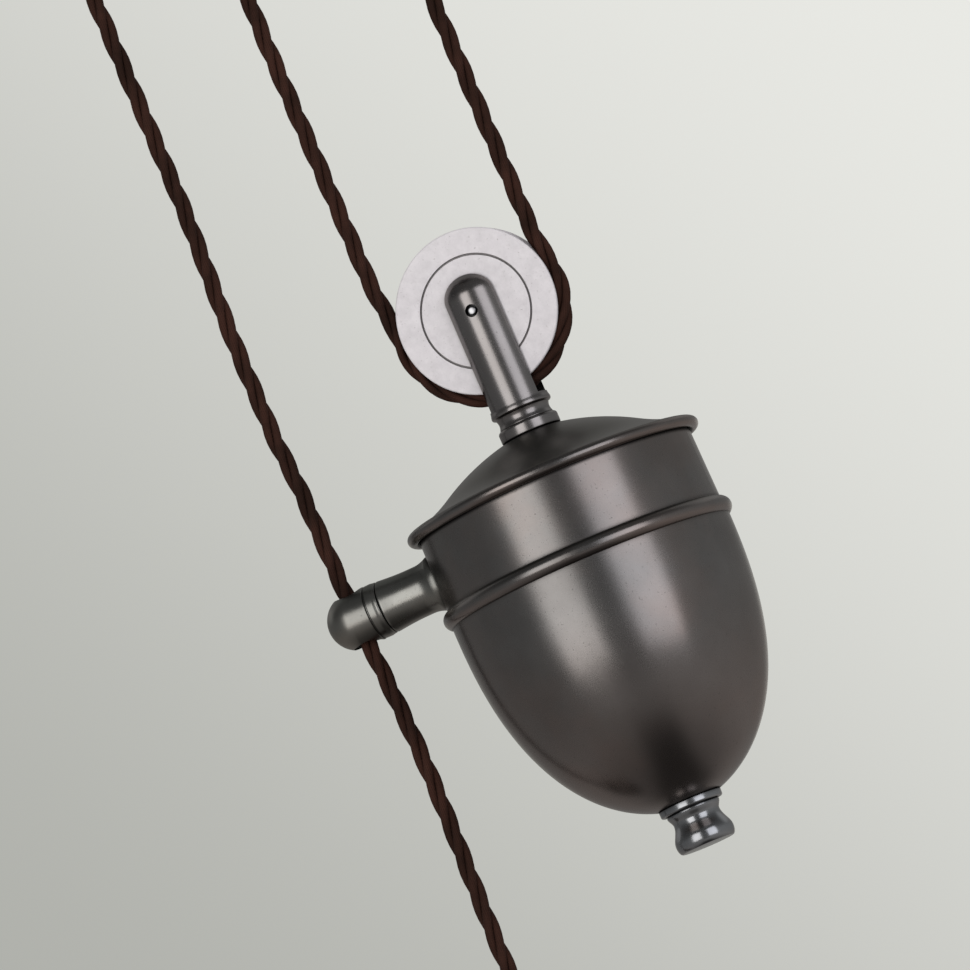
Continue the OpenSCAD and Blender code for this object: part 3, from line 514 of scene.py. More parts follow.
# Knob under the bowl: a flange with a fine groove under it, a neck, and a knob with a rounded end
KNOB_H, FLANGE_R, FLANGE_H, NECK_R, KNOB_R = 18.6, 12.7, 3.1, 9.45, 11.9
FLANGE_TOP_EDGE, FLANGE_EDGE = 0.6, 0.8
KNOB_COVE_R, GROOVE_DEEP, GROOVE_H = NECK_R + 1.3, 0.7, 0.5
KNOB_END_H, KNOB_END_IN = 3.4, 1.6
neck_line, knob_line = -FLANGE_H - 4.2, KNOB_END_H - KNOB_H
knob_origin = LOW_AXLE + Z * (BASE_Z * MM)
stand_for(carve(lathe(
    "turned_finial",
    [(0, 0)] + arc(FLANGE_R - FLANGE_TOP_EDGE, -FLANGE_TOP_EDGE, FLANGE_TOP_EDGE, 90, 0, 8)
    + arc(FLANGE_R - FLANGE_EDGE, FLANGE_EDGE - FLANGE_H, FLANGE_EDGE, 0, -90, 8)
    + [(KNOB_COVE_R - GROOVE_DEEP, -FLANGE_H), (KNOB_COVE_R - GROOVE_DEEP, -FLANGE_H - GROOVE_H)]
    + ease(KNOB_COVE_R, NECK_R, -FLANGE_H - GROOVE_H - 0.1, neck_line)
    + ease(NECK_R, KNOB_R, neck_line, knob_line)[1:]
    + [(KNOB_R - KNOB_END_IN * (1 - math.cos(a)), knob_line - KNOB_END_H * math.sin(a))
       for a in (math.pi / 2 * i / 20 for i in range(1, 21))]
    + [(0, -KNOB_H)],
    knob_origin), [drill(knob_origin, Z, STUD_R, 20)]), "bottom_finial", "weight", "aged_bronze")

# Slotted yokes, standing on their seats
BAR_R, SLOT_W, SLOT_DEPTH, YOKE_H, BAR_END, DOME_H = 11.8, 12.0, 38.3, 51.8, 5.75, 10.2
RING_R, RING_TOP, RING_FOOT, YOKE_COVE_R, YOKE_COVE_DEEP = 12.2, -38.5, -41.7, 10.9, 0.5
FOOT_R, FOOT_TOP, YOKE_EDGE, BEAD_EDGE = 12.1, -46.4, 0.8, 1.4
PIN_R, PIN_END_R, PIN_END_L, PIN_HALF, PIN_EDGE = 2.5, 1.6, 2.3, BAR_R - 0.4, 0.5


def make_yoke(name, node, body, axle, up):
    """A round bar on a beaded foot, slotted for its wheel; up points from the foot to the axle."""
    outline = (
        [(0, -YOKE_H), (FOOT_R - YOKE_EDGE, -YOKE_H)]
        + arc(FOOT_R - YOKE_EDGE, YOKE_EDGE + 0.3 - YOKE_H, YOKE_EDGE, -90, 0, 10)
        + arc(FOOT_R - BEAD_EDGE, FOOT_TOP - BEAD_EDGE, BEAD_EDGE, 0, 80, 14)
        + hollow(YOKE_COVE_R, YOKE_COVE_DEEP, FOOT_TOP + 0.3, RING_FOOT - 0.3)
        + arc(RING_R - YOKE_EDGE, RING_FOOT + YOKE_EDGE, YOKE_EDGE, -80, 0, 10)
        + ease(RING_R, BAR_R, RING_FOOT + YOKE_EDGE + 0.1, RING_TOP)
        + [(BAR_R * math.cos(a), BAR_END + DOME_H * math.sin(a))
           for a in (math.pi / 2 * i / 28 for i in range(28))] + [(0, BAR_END + DOME_H)])
    slot_h = SLOT_DEPTH + BAR_END + 2 * DOME_H
    slot = block("slot", axle + up * ((slot_h / 2 - SLOT_DEPTH) * MM),
                 [c * MM for c in (4 * BAR_R, SLOT_W, slot_h)])
    piece = carve(lathe(name, outline, axle, up, 160), [
        slot, drill(axle, Y, PIN_R, 3 * BAR_R), drill(axle - up * (YOKE_H * MM), up, STUD_R, 20)])
    return stand_for(piece, node, body, "aged_bronze")


def make_pin(name, node, body, axle):
    """An axle pin with thinner, almost flat ends that show in the yoke's holes."""
    half = ([(0, PIN_HALF), (0.7, PIN_HALF - 0.03)]
            + arc(PIN_END_R - PIN_EDGE, PIN_HALF - PIN_EDGE - 0.1, PIN_EDGE, 75, 0, 8)
            + [(PIN_END_R, PIN_HALF - PIN_END_L), (PIN_R, PIN_HALF - PIN_END_L)])
    outline = half + [(r, -y) for r, y in reversed(half)]
    return stand_for(lathe(name, outline, axle, Y, 64), node, body, "zinc_steel")


make_yoke("turned_lower_yoke", "weight_yoke", "weight", LOW_AXLE, Z)
make_yoke("turned_upper_yoke", "ceiling_yoke", "ceiling", HIGH_AXLE, -Z)
make_pin("turned_lower_pin", "weight_axle", "weight", LOW_AXLE)
make_pin("turned_upper_pin", "ceiling_axle", "ceiling", HIGH_AXLE)

# Guide arm with a flared root cut to the band, and its round-ended eye
ARM_DROP = BAND_TOP_Z - level(middle("eye_liner").z)
ARM_ROOT = BAND_TOP_R + BAND_TAPER * ARM_DROP / (BAND_TOP_Z - BAND_FOOT_Z)
EYE_REACH = (LOW_AXLE.x - LAMP_X) / MM
WAIST_R, ROOT_R, ROOT_SWEEP, JOINT_R, JOINT_EDGE = 9.75, 11.2, 12.0, 10.5, 0.8
ROOT_ALLOWANCE, ROOT_FLAT, ARM_STUD_L = 3.0, 1.6, 13.5
EYE_R, EYE_NOSE, LINER_R, SPIGOT_R, SPIGOT_L = 11.4, 1.0, 6.2, 3.0, 8.0
JOINT_AT, GROOVE_AT = EYE_REACH - 12.1, EYE_REACH - 7.0
sweep_a = math.acos(1 - (ROOT_R - WAIST_R) / ROOT_SWEEP)
waist_start = ARM_ROOT + ROOT_FLAT + ROOT_SWEEP * math.sin(sweep_a)
arm_origin = LOW_AXLE + Z * ((BAND_TOP_Z - ARM_DROP) * MM)
OUTWARDS = Vector((-1, 0, 0))

arm = lathe(
    "turned_arm",
    [(0, ARM_ROOT - ROOT_ALLOWANCE), (ROOT_R, ARM_ROOT - ROOT_ALLOWANCE)]
    + [(WAIST_R + ROOT_SWEEP * (1 - math.cos(a)), waist_start - ROOT_SWEEP * math.sin(a))
       for a in (sweep_a * (1 - i / 20) for i in range(21))]
    + flare(WAIST_R, JOINT_R, waist_start + 3, JOINT_AT - JOINT_EDGE)
    + arc(JOINT_R - JOINT_EDGE, JOINT_AT - JOINT_EDGE, JOINT_EDGE, 0, 90, 8)[1:]
    + [(SPIGOT_R, JOINT_AT), (SPIGOT_R, JOINT_AT - SPIGOT_L), (0, JOINT_AT - SPIGOT_L)],
    arm_origin, OUTWARDS)
band_solid = lathe("band_solid", [(0, BAND_TOP_Z), (BAND_TOP_R, BAND_TOP_Z), (BAND_FOOT_R, BAND_FOOT_Z),
                                  (0, BAND_FOOT_Z)], LOW_AXLE, sides=240)
carve(arm, [band_solid])
stud_end = ARM_ROOT - ARM_STUD_L
carve(arm, [lathe("stud", [(0, stud_end), (STUD_R, stud_end), (STUD_R, ARM_ROOT + 2), (0, ARM_ROOT + 2)],
                  arm_origin, OUTWARDS, 64)], "UNION")
stand_for(arm, "guide_arm", "weight", "aged_bronze")

# The eye's collar swells a little between the joint and a fine V-shaped groove
V_HALF, V_FLOOR = 0.5, 0.15
eye = lathe(
    "turned_eye",
    [(0, JOINT_AT - SPIGOT_L), (SPIGOT_R, JOINT_AT - SPIGOT_L), (SPIGOT_R, JOINT_AT)]
    + arc(JOINT_R + 0.1 - JOINT_EDGE, JOINT_AT + JOINT_EDGE, JOINT_EDGE, -90, 0, 8)
    + ease(JOINT_R + 0.1, JOINT_R + 0.35, JOINT_AT + JOINT_EDGE + 0.1, (JOINT_AT + GROOVE_AT) / 2, 8)
    + [(JOINT_R + 0.3, GROOVE_AT - V_HALF), (JOINT_R - 0.1, GROOVE_AT - V_FLOOR),
       (JOINT_R - 0.1, GROOVE_AT + V_FLOOR), (JOINT_R + 0.4, GROOVE_AT + V_HALF)]
    + arc(0, EYE_REACH + EYE_NOSE, EYE_R, 0, 90, 40)[:-1] + [(0, EYE_REACH + EYE_NOSE + EYE_R)],
    arm_origin, OUTWARDS)
carve(eye, [drill(arm_origin + OUTWARDS * (EYE_REACH * MM), Z, LINER_R, 4 * EYE_R, 96)])
stand_for(eye, "guide_eye", "weight", "aged_bronze")

# Grooved wheels: flat faces with a turned line, eased corners, a round groove for the flex
WHEEL_HALF, BUSH_R, OVERHANG, GROOVE_R, RIM_BAND = 5.0, 4.5, 1.3, CORD_R / MM + 0.3, 10.3
WHEEL_EDGE, BUSH_EDGE, LINE_HALF, LINE_DEEP, LINE_FLOOR_R = 0.7, 0.3, 0.45, 1.0, 0.35


def make_wheel(name, node, body, axle, line_r):
    edge = line_r - OVERHANG
    lip = math.degrees(math.acos(OVERHANG / GROOVE_R))
    line = edge - RIM_BAND
    face = ([(BUSH_R, WHEEL_HALF - BUSH_EDGE), (BUSH_R + BUSH_EDGE, WHEEL_HALF)]
            + [(line - LINE_HALF, WHEEL_HALF)]
            + arc(line, WHEEL_HALF - LINE_DEEP, LINE_FLOOR_R, 180, 360, 10)
            + [(line + LINE_HALF, WHEEL_HALF)]
            + arc(edge - WHEEL_EDGE, WHEEL_HALF - WHEEL_EDGE, WHEEL_EDGE, 90, 0, 10))
    outline = (face + arc(line_r, 0, GROOVE_R, 180 - lip, 180 + lip, 40)
               + [(r, -h) for r, h in reversed(face)])
    return stand_for(lathe(name, outline, axle, Y, 192), node, body, "wheel_white")


make_wheel("turned_lower_wheel", "weight_wheel", "lower_wheel", LOW_AXLE, LOW_LINE_R / MM)
make_wheel("turned_upper_wheel", "ceiling_wheel", "upper_wheel", HIGH_AXLE, HIGH_LINE_R / MM)

# Ceiling rose: a spun cup with a rolled rim, holed for its stud, cord grip and cover screws
ROSE_R = radius_of("rose_cup") / MM
ROSE_H = -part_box("rose_cup")[0].z / MM
WALL_R, CORNER, CUP_T, ROLL_R = ROSE_R - 4, 6.0, 1.5, 2.3
COVER_Y, COVER_HOLE_R, HOLE_CUTTER_L = 51.0, 2.3, 6
ceiling = Vector((0, 0, 0))
cup_floor = Z * (-ROSE_H * MM)
roll_low = math.degrees(math.acos(-1.7 / ROLL_R))
cup = lathe(
    "spun_rose",
    [(0, -ROSE_H)] + arc(WALL_R - CORNER, CORNER - ROSE_H, CORNER, -90, 0)
    + arc(ROSE_R - ROLL_R, 0.1 - ROLL_R, ROLL_R, -roll_low, 73, 36)
    + [(WALL_R - CUP_T, 0)] + arc(WALL_R - CORNER, CORNER - ROSE_H, CORNER - CUP_T, 0, -90)
    + [(0, CUP_T - ROSE_H)],
    ceiling, sides=192)
carve(cup, [drill(cup_floor + Vector((x, y, 0)), Z, hole_r, HOLE_CUTTER_L)
            for x, y, hole_r in ((HIGH_AXLE.x, 0, STUD_HOLE_R), (FIXED_X, 0, CORD_HOLE_R),
                                 (0, COVER_Y * MM, COVER_HOLE_R), (0, -COVER_Y * MM, COVER_HOLE_R))])
stand_for(cup, "rose_cup", "ceiling", "aged_bronze")

# Cover screws: round heads with a slot, long threaded shanks
HEAD_R, HEAD_H, SCREW_R, SCREW_PITCH, THREAD_DEEP = 5.2, 4.0, 2.0, 0.7, 0.35
PLAIN_SHANK, DRIVER_W, DRIVER_DEEP = 4, 1.1, 1.3


def make_cover_screw(name, side):
    origin = Y * (side * COVER_Y * MM) + cup_floor
    head = [(HEAD_R * math.cos(a), -HEAD_H * math.sin(a)) for a in (math.pi / 2 * i / 24 for i in range(24))]
    shank_top = ROSE_H - 0.5
    turns = int((shank_top - PLAIN_SHANK - 2) / SCREW_PITCH)
    ridges = [(SCREW_R - THREAD_DEEP * (i % 2), PLAIN_SHANK + 1 + i * SCREW_PITCH / 2)
              for i in range(2 * turns)]
    piece = lathe(name, [(0, shank_top), (SCREW_R - 0.3, shank_top)] + ridges[::-1]
                  + [(SCREW_R, PLAIN_SHANK), (SCREW_R, 0)] + head + [(0, -HEAD_H)], origin, Z, 48)
    slot_size = [c * MM for c in (3 * HEAD_R, DRIVER_W, 2 * DRIVER_DEEP)]
    carve(piece, [block("slot", origin - Z * (HEAD_H * MM), slot_size)])
    return stand_for(piece, "cover_screws", "ceiling", "aged_bronze")


make_cover_screw("cover_screw_front", -1)
make_cover_screw("cover_screw_back", 1)

# Lampholder: spun cap, threaded skirt and socket shell
GRIP_H, CAP_H, SKIRT_R, SKIRT_T = 16.0, 22.0, 19.8, 3.0
FLAT_R, CAP_T, CAP_R, CAP_ROLL_H, CAP_OVER = 10.5, 1.2, 21.5, 4, 0.5
cap_foot = -GRIP_H - CAP_H
lamp_origin = Vector((LAMP_X, 0, LAMP_GRIP_Z))


def cap_dome(cut, steps=32):
    """The dome's outside, or the surface that lies cut inside it."""
    return [(FLAT_R + (SKIRT_R - FLAT_R + CAP_OVER - cut) * math.sin(a),
             -GRIP_H - (CAP_H - CAP_ROLL_H) * (1 - math.cos(a)) - cut * math.cos(a))
            for a in (math.pi / 2 * i / steps for i in range(steps + 1))]


stand_for(lathe(
    "spun_cap",
    [(CORD_HOLE_R, -GRIP_H)] + cap_dome(0)
    + arc(CAP_R - 0.8, cap_foot + CAP_ROLL_H - 0.8, 0.8, 90, 0, 8)
    + arc(CAP_R - 0.6, cap_foot + 0.6, 0.6, 0, -90, 6)
    + [(SKIRT_R - SKIRT_T, cap_foot), (SKIRT_R + CAP_OVER - CAP_T, cap_foot + CAP_T)]
    + cap_dome(CAP_T)[::-1] + [(CORD_HOLE_R, -GRIP_H - CAP_T)],
    lamp_origin), "lamp_cap", "lamp", "aged_bronze")


def threaded_tube(name, foot, height, outer, inner, step, sides=96):
    """A tube on the lampholder's axis; its outer and inner radii, in millimetres, depend on the share of
    a turn and the height over its foot."""
    rows = round(height / step)
    points, faces = [], []
    for radius in (outer, inner):
        for i in range(rows + 1):
            h = height * i / rows
            for k in range(sides):
                a = 2 * math.pi * k / sides
                r = radius(k / sides, h) * MM
                points.append(lamp_origin + Vector((r * math.cos(a), r * math.sin(a), (foot + h) * MM)))
    wall = (rows + 1) * sides
    for k in range(sides):
        n = (k + 1) % sides
        for i in range(rows):
            a, b = i * sides, (i + 1) * sides
            faces.append((a + k, a + n, b + n, b + k))
            faces.append((wall + a + k, wall + b + k, wall + b + n, wall + a + n))
        top = rows * sides
        faces.append((k, wall + k, wall + n, n))
        faces.append((top + k, top + n, wall + top + n, wall + top + k))
    return crisp(add_mesh(name, points, faces), 75)


def thread(radius, depth, pitch):
    """Radius of a rounded thread: the crest is at radius, the root deeper by depth."""
    return lambda turn, h: radius - depth * (1 - math.cos(2 * math.pi * (h / pitch - turn))) / 2


SKIRT_H, SKIRT_DEEP, SKIRT_PITCH = 28.0, 0.8, 2.5
SOCKET_H, SOCKET_R, SOCKET_T, SOCKET_DEEP, SOCKET_PITCH = 18.0, 13.4, 0.6, 0.9, 3.6
skirt_foot = cap_foot - SKIRT_H
stand_for(threaded_tube("threaded_skirt", skirt_foot, SKIRT_H, thread(SKIRT_R, SKIRT_DEEP, SKIRT_PITCH),
                        lambda turn, h: SKIRT_R - SKIRT_T, 0.3), "lamp_skirt", "lamp", "aged_bronze")
stand_for(threaded_tube("threaded_socket", skirt_foot + 2, SOCKET_H,
                        thread(SOCKET_R + SOCKET_T, SOCKET_DEEP, SOCKET_PITCH),
                        thread(SOCKET_R + 0.1, SOCKET_DEEP, SOCKET_PITCH), 0.4),
          "socket_shell", "lamp", "plain_brass")


# Materials

class Nodes:
    """Short names for the nodes of one material."""

    def __init__(self, tree):
        self.tree = tree

    def add(self, kind, **settings):
        node = self.tree.nodes.new(kind)
        for key, value in settings.items():
            if hasattr(node, key):
                setattr(node, key, value)
            else:
                node.inputs[key.replace("_", " ")].default_value = value
        return node

    def link(self, output, target):
        self.tree.links.new(output, target)

    def place(self, scale=(1, 1, 1)):
        """Object coordinates in metres, stretched by scale."""
        where = self.add("ShaderNodeTexCoord")
        stretch = self.add("ShaderNodeMapping")
        stretch.inputs["Scale"].default_value = scale
        self.link(where.outputs["Object"], stretch.inputs["Vector"])
        return stretch.outputs["Vector"]

    def noise(self, scale, detail=4.0, roughness=0.55, where=None):
        node = self.add("ShaderNodeTexNoise")
        node.inputs["Scale"].default_value = scale
        node.inputs["Detail"].default_value = detail
        node.inputs["Roughness"].default_value = roughness
        self.link(where or self.place(), node.inputs["Vector"])
        return node.outputs["Fac"]

    def ramp(self, value, *stops):
        node = self.add("ShaderNodeValToRGB")
        elements = node.color_ramp.elements
        while len(elements) < len(stops):
            elements.new(0.5)
        for element, (position, colour) in zip(elements, stops):
            element.position = position
            if isinstance(colour, (int, float)):
                colour = (colour,) * 3
            element.color = (*colour, 1)
        self.link(value, node.inputs["Fac"])
        return node.outputs["Color"]

    def mix(self, factor, a, b, blend="MIX"):
        node = self.add("ShaderNodeMix", data_type="RGBA", blend_type=blend)
        for value, socket in ((factor, 0), (a, 6), (b, 7)):
            if hasattr(value, "links"):
                self.link(value, node.inputs[socket])
            elif isinstance(value, (int, float)) and socket:
                node.inputs[socket].default_value = (value, value, value, 1)
            elif socket:
                node.inputs[socket].default_value = (*value, 1)
            else:
                node.inputs[socket].default_value = value
        return node.outputs[2]

    def maths(self, operation, a, b=0.0):
        node = self.add("ShaderNodeMath", operation=operation)
        for value, socket in ((a, 0), (b, 1)):
            if hasattr(value, "links"):
                self.link(value, node.inputs[socket])
            else:
                node.inputs[socket].default_value = value
        return node.outputs[0]

    def times(self, a, b):
        return self.maths("MULTIPLY", a, b)

    def crease(self, reach, full, none):
        """1 deep in a crease narrower than reach, 0 in the open."""
        node = self.add("ShaderNodeAmbientOcclusion", samples=8)
        node.inputs["Distance"].default_value = reach
        return self.ramp(node.outputs["AO"], (full, 1.0), (none, 0.0))

    def facing(self, way, none, full):
        """0 where the normal rises (way 1) or falls (way -1) less than none, 1 where more than full."""
        part = self.add("ShaderNodeSeparateXYZ")
        self.link(self.add("ShaderNodeNewGeometry").outputs["Normal"], part.inputs[0])
        return self.ramp(self.times(part.outputs["Z"], way), (none, 0.0), (full, 1.0))

    def bump(self, height, strength, distance):
        node = self.add("ShaderNodeBump")
        node.inputs["Strength"].default_value = strength
        node.inputs["Distance"].default_value = distance
        self.link(height, node.inputs["Height"])
        return node.outputs["Normal"]


def new_material(name, **uniform):
    """A Principled material; uniform values go straight on its own sockets."""
    material = bpy.data.materials.new(name)
    material.use_nodes = True
    shader = material.node_tree.nodes["Principled BSDF"]
    for key, value in uniform.items():
        shader.inputs[key.replace("_", " ")].default_value = value
    return material, Nodes(material.node_tree), shader


def patina(name, light, dark, warm, rough):
    """Chemically darkened metal: cloudy, coppery where it was rubbed and where it faces down, with specks,
    dark patina in the hollows with painted shade where parts meet and on tops round what stands on them,
    duller with painted shade on what faces up, turning lines and shallow dents."""
    material, n, shader = new_material(name, Metallic=1.0, Specular_Tint=(0.82, 0.80, 0.78, 1))
    cloud = n.ramp(n.noise(30, 6, 0.6), (0.32, 0.0), (0.68, 1.0))
    base = n.mix(cloud, dark, light)
    rubbed = n.ramp(n.noise(16, 4, 0.6), (0.47, 0.0), (0.74, 1.0))
    base = n.mix(n.maths("ADD", n.times(rubbed, 0.38), n.times(n.facing(-1, 0.05, 0.5), 0.42)), base, warm)
    speckle = n.ramp(n.noise(1100, 3, 0.6), (0.63, 0.0), (0.73, 1.0))
    base = n.mix(n.times(speckle, 0.35), base, [c * 0.4 for c in dark])
    # Painted shade on what faces up: darker there, and rougher as a dull top layer
    dull_film_and_top_shade = n.facing(1, 0.55, 0.88)
    base = n.mix(dull_film_and_top_shade, base, [c * k for c, k in zip(dark, (0.62, 0.65, 0.62))])
    # Painted shade on tops round what stands on them, such as the lid round the yoke's foot
    painted_lee_shade = n.times(dull_film_and_top_shade, n.crease(20 * MM, 0.5, 0.98))
    # Nearly black under this mask: dark patina in the hollows, painted shade where parts meet and on tops
    # round what stands on them
    crease_patina_and_shade = n.maths("MAXIMUM", n.crease(2 * MM, 0.55, 0.93), n.times(painted_lee_shade, 0.8))
    n.link(n.mix(crease_patina_and_shade, base, [c * 0.08 for c in dark]), shader.inputs["Base Color"])

    polish = n.ramp(n.noise(24, 4, 0.6, n.place((1, 1, 0.35))), (0.3, rough - 0.04), (0.7, rough + 0.05))
    polish = n.mix(n.times(speckle, 0.5), polish, rough + 0.22)
    polish = n.mix(dull_film_and_top_shade, polish, 0.37)
    n.link(n.mix(n.times(crease_patina_and_shade, 0.6), polish, 0.6), shader.inputs["Roughness"])

    turned = n.noise(60, 3, 0.6, n.place((0.5, 0.5, 50)))
    dents = n.noise(70, 5, 0.55)
    height = n.maths("ADD", n.times(turned, 0.5), n.times(dents, 1.9))
    height = n.maths("SUBTRACT", height, n.times(speckle, 0.4))
    n.link(n.bump(height, 0.18, 0.05 * MM), shader.inputs["Normal"])
    return material


def plain_metal(name, light, dark, rough):
    """Bare metal, a little cloudy, with painted shade in its creases."""
    material, n, shader = new_material(name, Metallic=1.0)
    base = n.mix(n.ramp(n.noise(120, 4), (0.3, 0.0), (0.7, 1.0)), dark, light)
    # Painted shade: nearly black where the crease mask is full
    n.link(n.mix(n.crease(2 * MM, 0.55, 0.9), base, [c * 0.05 for c in dark]), shader.inputs["Base Color"])
    n.link(n.ramp(n.noise(400, 3), (0.3, rough - 0.06), (0.7, rough + 0.08)), shader.inputs["Roughness"])
    n.link(n.bump(n.noise(900, 3), 0.15, 0.02 * MM), shader.inputs["Normal"])
    return material


def wheel_material():
    """Off-white of the two wheels: mottled, with stains and pits, and painted shade in the turned line."""
    material, n, shader = new_material("wheel_white", Specular_IOR_Level=0.4)
    mottle = n.ramp(n.noise(190, 6, 0.7), (0.36, 0.0), (0.64, 1.0))
    base = n.mix(mottle, (0.600, 0.575, 0.590), (0.690, 0.662, 0.678))
    stain = n.ramp(n.noise(420, 5, 0.7), (0.60, 0.0), (0.74, 1.0))
    base = n.mix(n.times(stain, 0.45), base, (0.40, 0.38, 0.37))
    pits = n.ramp(n.noise(1100, 2), (0.68, 0.0), (0.74, 1.0))
    base = n.mix(n.times(pits, 0.5), base, (0.26, 0.24, 0.23))
    # Painted shade: grey where the crease mask is full, in the turned line and other narrow gaps
    n.link(n.mix(n.crease(1.6 * MM, 0.45, 0.9), base, (0.28, 0.265, 0.265)), shader.inputs["Base Color"])
    n.link(n.ramp(n.noise(300, 3), (0.3, 0.36), (0.7, 0.52)), shader.inputs["Roughness"])
    height = n.maths("SUBTRACT", mottle, n.times(pits, 1.5))
    n.link(n.bump(height, 0.18, 0.05 * MM), shader.inputs["Normal"])
    return material


def flex_material():
    """Braided brown silk: two sets of fine threads that cross over each strand."""
    material, n, shader = new_material("brown_flex", Specular_IOR_Level=0.12, Sheen_Weight=0.03,
                                       Sheen_Roughness=0.4, Roughness=0.85)
    shader.inputs["Sheen Tint"].default_value = (0.75, 0.5, 0.42, 1)
    uv = n.add("ShaderNodeTexCoord").outputs["UV"]
    part = n.add("ShaderNodeSeparateXYZ")
    n.link(uv, part.inputs[0])
    threads_round, threads_along = 12, 0.9

    def carriers(sign):
        """The threads that wind one way round their strand."""
        along = n.times(part.outputs["Y"], threads_along * sign)
        phase = n.maths("ADD", n.times(part.outputs["X"], threads_round), along)
        return n.maths("SINE", n.times(phase, 2 * math.pi))

    weave = n.maths("MAXIMUM", carriers(1), carriers(-1))
    relief = n.ramp(n.maths("ADD", n.times(weave, 0.5), 0.5), (0.1, 0.0), (1.0, 1.0))
    streak = n.ramp(n.noise(45, 5, 0.6), (0.36, 0.0), (0.64, 1.0))
    base = n.mix(streak, (0.022, 0.0095, 0.006), (0.050, 0.020, 0.0135))
    # Painted shade in the hollows between the threads: darker where the relief is low
    n.link(n.mix(relief, n.mix(0.5, base, (0.008, 0.003, 0.002)), base), shader.inputs["Base Color"])
    n.link(n.bump(relief, 0.5, 0.12 * MM), shader.inputs["Normal"])
    return material


def ceramic_material():
    """Glazed white porcelain of the lampholder's insert and the terminal block."""
    material, n, shader = new_material("white_ceramic", Coat_Weight=0.6, Coat_Roughness=0.08)
    n.link(n.mix(n.ramp(n.noise(80, 4), (0.35, 0.0), (0.65, 1.0)), (0.70, 0.68, 0.62),
                 (0.78, 0.76, 0.71)), shader.inputs["Base Color"])
    n.link(n.ramp(n.noise(500, 3), (0.3, 0.28), (0.7, 0.42)), shader.inputs["Roughness"])
    n.link(n.bump(n.noise(700, 3), 0.12, 0.03 * MM), shader.inputs["Normal"])
    return material


def iron_material():
    """Rough cast iron of the ballast."""
    material, n, shader = new_material("ballast_iron", Metallic=0.6)
    n.link(n.mix(n.ramp(n.noise(150, 5), (0.35, 0.0), (0.65, 1.0)), (0.05, 0.045, 0.042),
                 (0.12, 0.115, 0.11)), shader.inputs["Base Color"])
    n.link(n.ramp(n.noise(200, 3), (0.3, 0.6), (0.7, 0.8)), shader.inputs["Roughness"])
    n.link(n.bump(n.noise(600, 4), 0.4, 0.2 * MM), shader.inputs["Normal"])
    return material


def liner_material():
    """Black plastic of the guide eye's liner."""
    material, n, shader = new_material("liner_black", Specular_IOR_Level=0.4)
    n.link(n.mix(n.noise(200, 3), (0.012, 0.012, 0.012), (0.03, 0.03, 0.03)), shader.inputs["Base Color"])
    n.link(n.ramp(n.noise(300, 3), (0.3, 0.35), (0.7, 0.5)), shader.inputs["Roughness"])
    return material


# patina takes its light, dark and warm colours and its roughness
materials = {
    "aged_bronze": patina("aged_bronze", (0.210, 0.204, 0.199), (0.164, 0.158, 0.153),
                          (0.262, 0.188, 0.160), 0.25),
    # Lit copies of aged_bronze: painted brighter, each in its own tint, for the small turned pieces
    "lit_yoke_bronze": patina("lit_yoke_bronze", (0.250, 0.242, 0.240), (0.205, 0.198, 0.196),
                          (0.262, 0.228, 0.212), 0.23),
    "lit_arm_bronze": patina("lit_arm_bronze", (0.290, 0.292, 0.272), (0.165, 0.168, 0.158),
                         (0.285, 0.240, 0.200), 0.27),
    "lit_finial_bronze": patina("lit_finial_bronze", (0.325, 0.337, 0.348), (0.240, 0.250, 0.262),
                            (0.310, 0.280, 0.265), 0.18),
    "wheel_white": wheel_material(),
    "plain_brass": plain_metal("plain_brass", (0.72, 0.55, 0.27), (0.52, 0.38, 0.17), 0.3),
    "zinc_steel": plain_metal("zinc_steel", (0.62, 0.62, 0.62), (0.44, 0.45, 0.47), 0.32),
    "ballast_iron": iron_material(),
    "brown_flex": flex_material(),
    "white_ceramic": ceramic_material(),
    "liner_black": liner_material(),
}


def paint(obj, finish):
    obj.data.materials.clear()
    obj.data.materials.append(materials[finish])


for subpart in frame["record"]["subparts"]:
    paint(frame["nodes"][subpart["node"]], subpart["material_slot"])
for piece, finish in new_pieces:
    paint(piece, finish)

# Lit copies of the same finish: the small turned pieces painted brighter, each in its own tint
for name, look in (("turned_lower_yoke", "lit_yoke_bronze"), ("turned_upper_yoke", "lit_yoke_bronze"),
                   ("turned_arm", "lit_arm_bronze"), ("turned_eye", "lit_arm_bronze"),
                   ("turned_finial", "lit_finial_bronze")):
    paint(bpy.data.objects[name], look)


# Studio: two tall soft boxes beside the camera, a dim room with a pale backdrop, a floor far below

LIGHT_CENTRE = LOW_AXLE + Z * (-90 * MM)
LIGHT_DISTANCE = 2.5


def softbox(name, left_deg, right_deg, low_deg, high_deg, radiance, tint):
    """A tall area light that fills the given angles, seen from the object; turns are from the camera
    towards the picture's right, heights from level."""
    turn = math.radians((left_deg + right_deg) / 2)
    width = 2 * LIGHT_DISTANCE * math.tan(math.radians(right_deg - left_deg) / 2)
    low, high = (LIGHT_DISTANCE * math.tan(math.radians(a)) for a in (low_deg, high_deg))
    data = bpy.data.lights.new(name, "AREA")
    data.shape = "RECTANGLE"
    data.size = width
    data.size_y = high - low
    data.energy = radiance * math.pi * width * (high - low)
    data.color = tint
    light = bpy.data.objects.new(name, data)
    bpy.context.scene.collection.objects.link(light)
    a = VIEW_AZIMUTH + turn
    out = Vector((math.sin(a), -math.cos(a), 0))
    light.location = LIGHT_CENTRE + out * LIGHT_DISTANCE + Z * ((low + high) / 2)
    light.rotation_mode = "QUATERNION"
    light.rotation_quaternion = (-out).to_track_quat("-Z", "Y")
    light.visible_camera = False


softbox("light_left", -47, -13, -17, 32, 2.1, (1.0, 0.97, 0.955))
softbox("light_right", 16, 52, -18.5, 32, 1.7, (0.96, 0.95, 1.0))


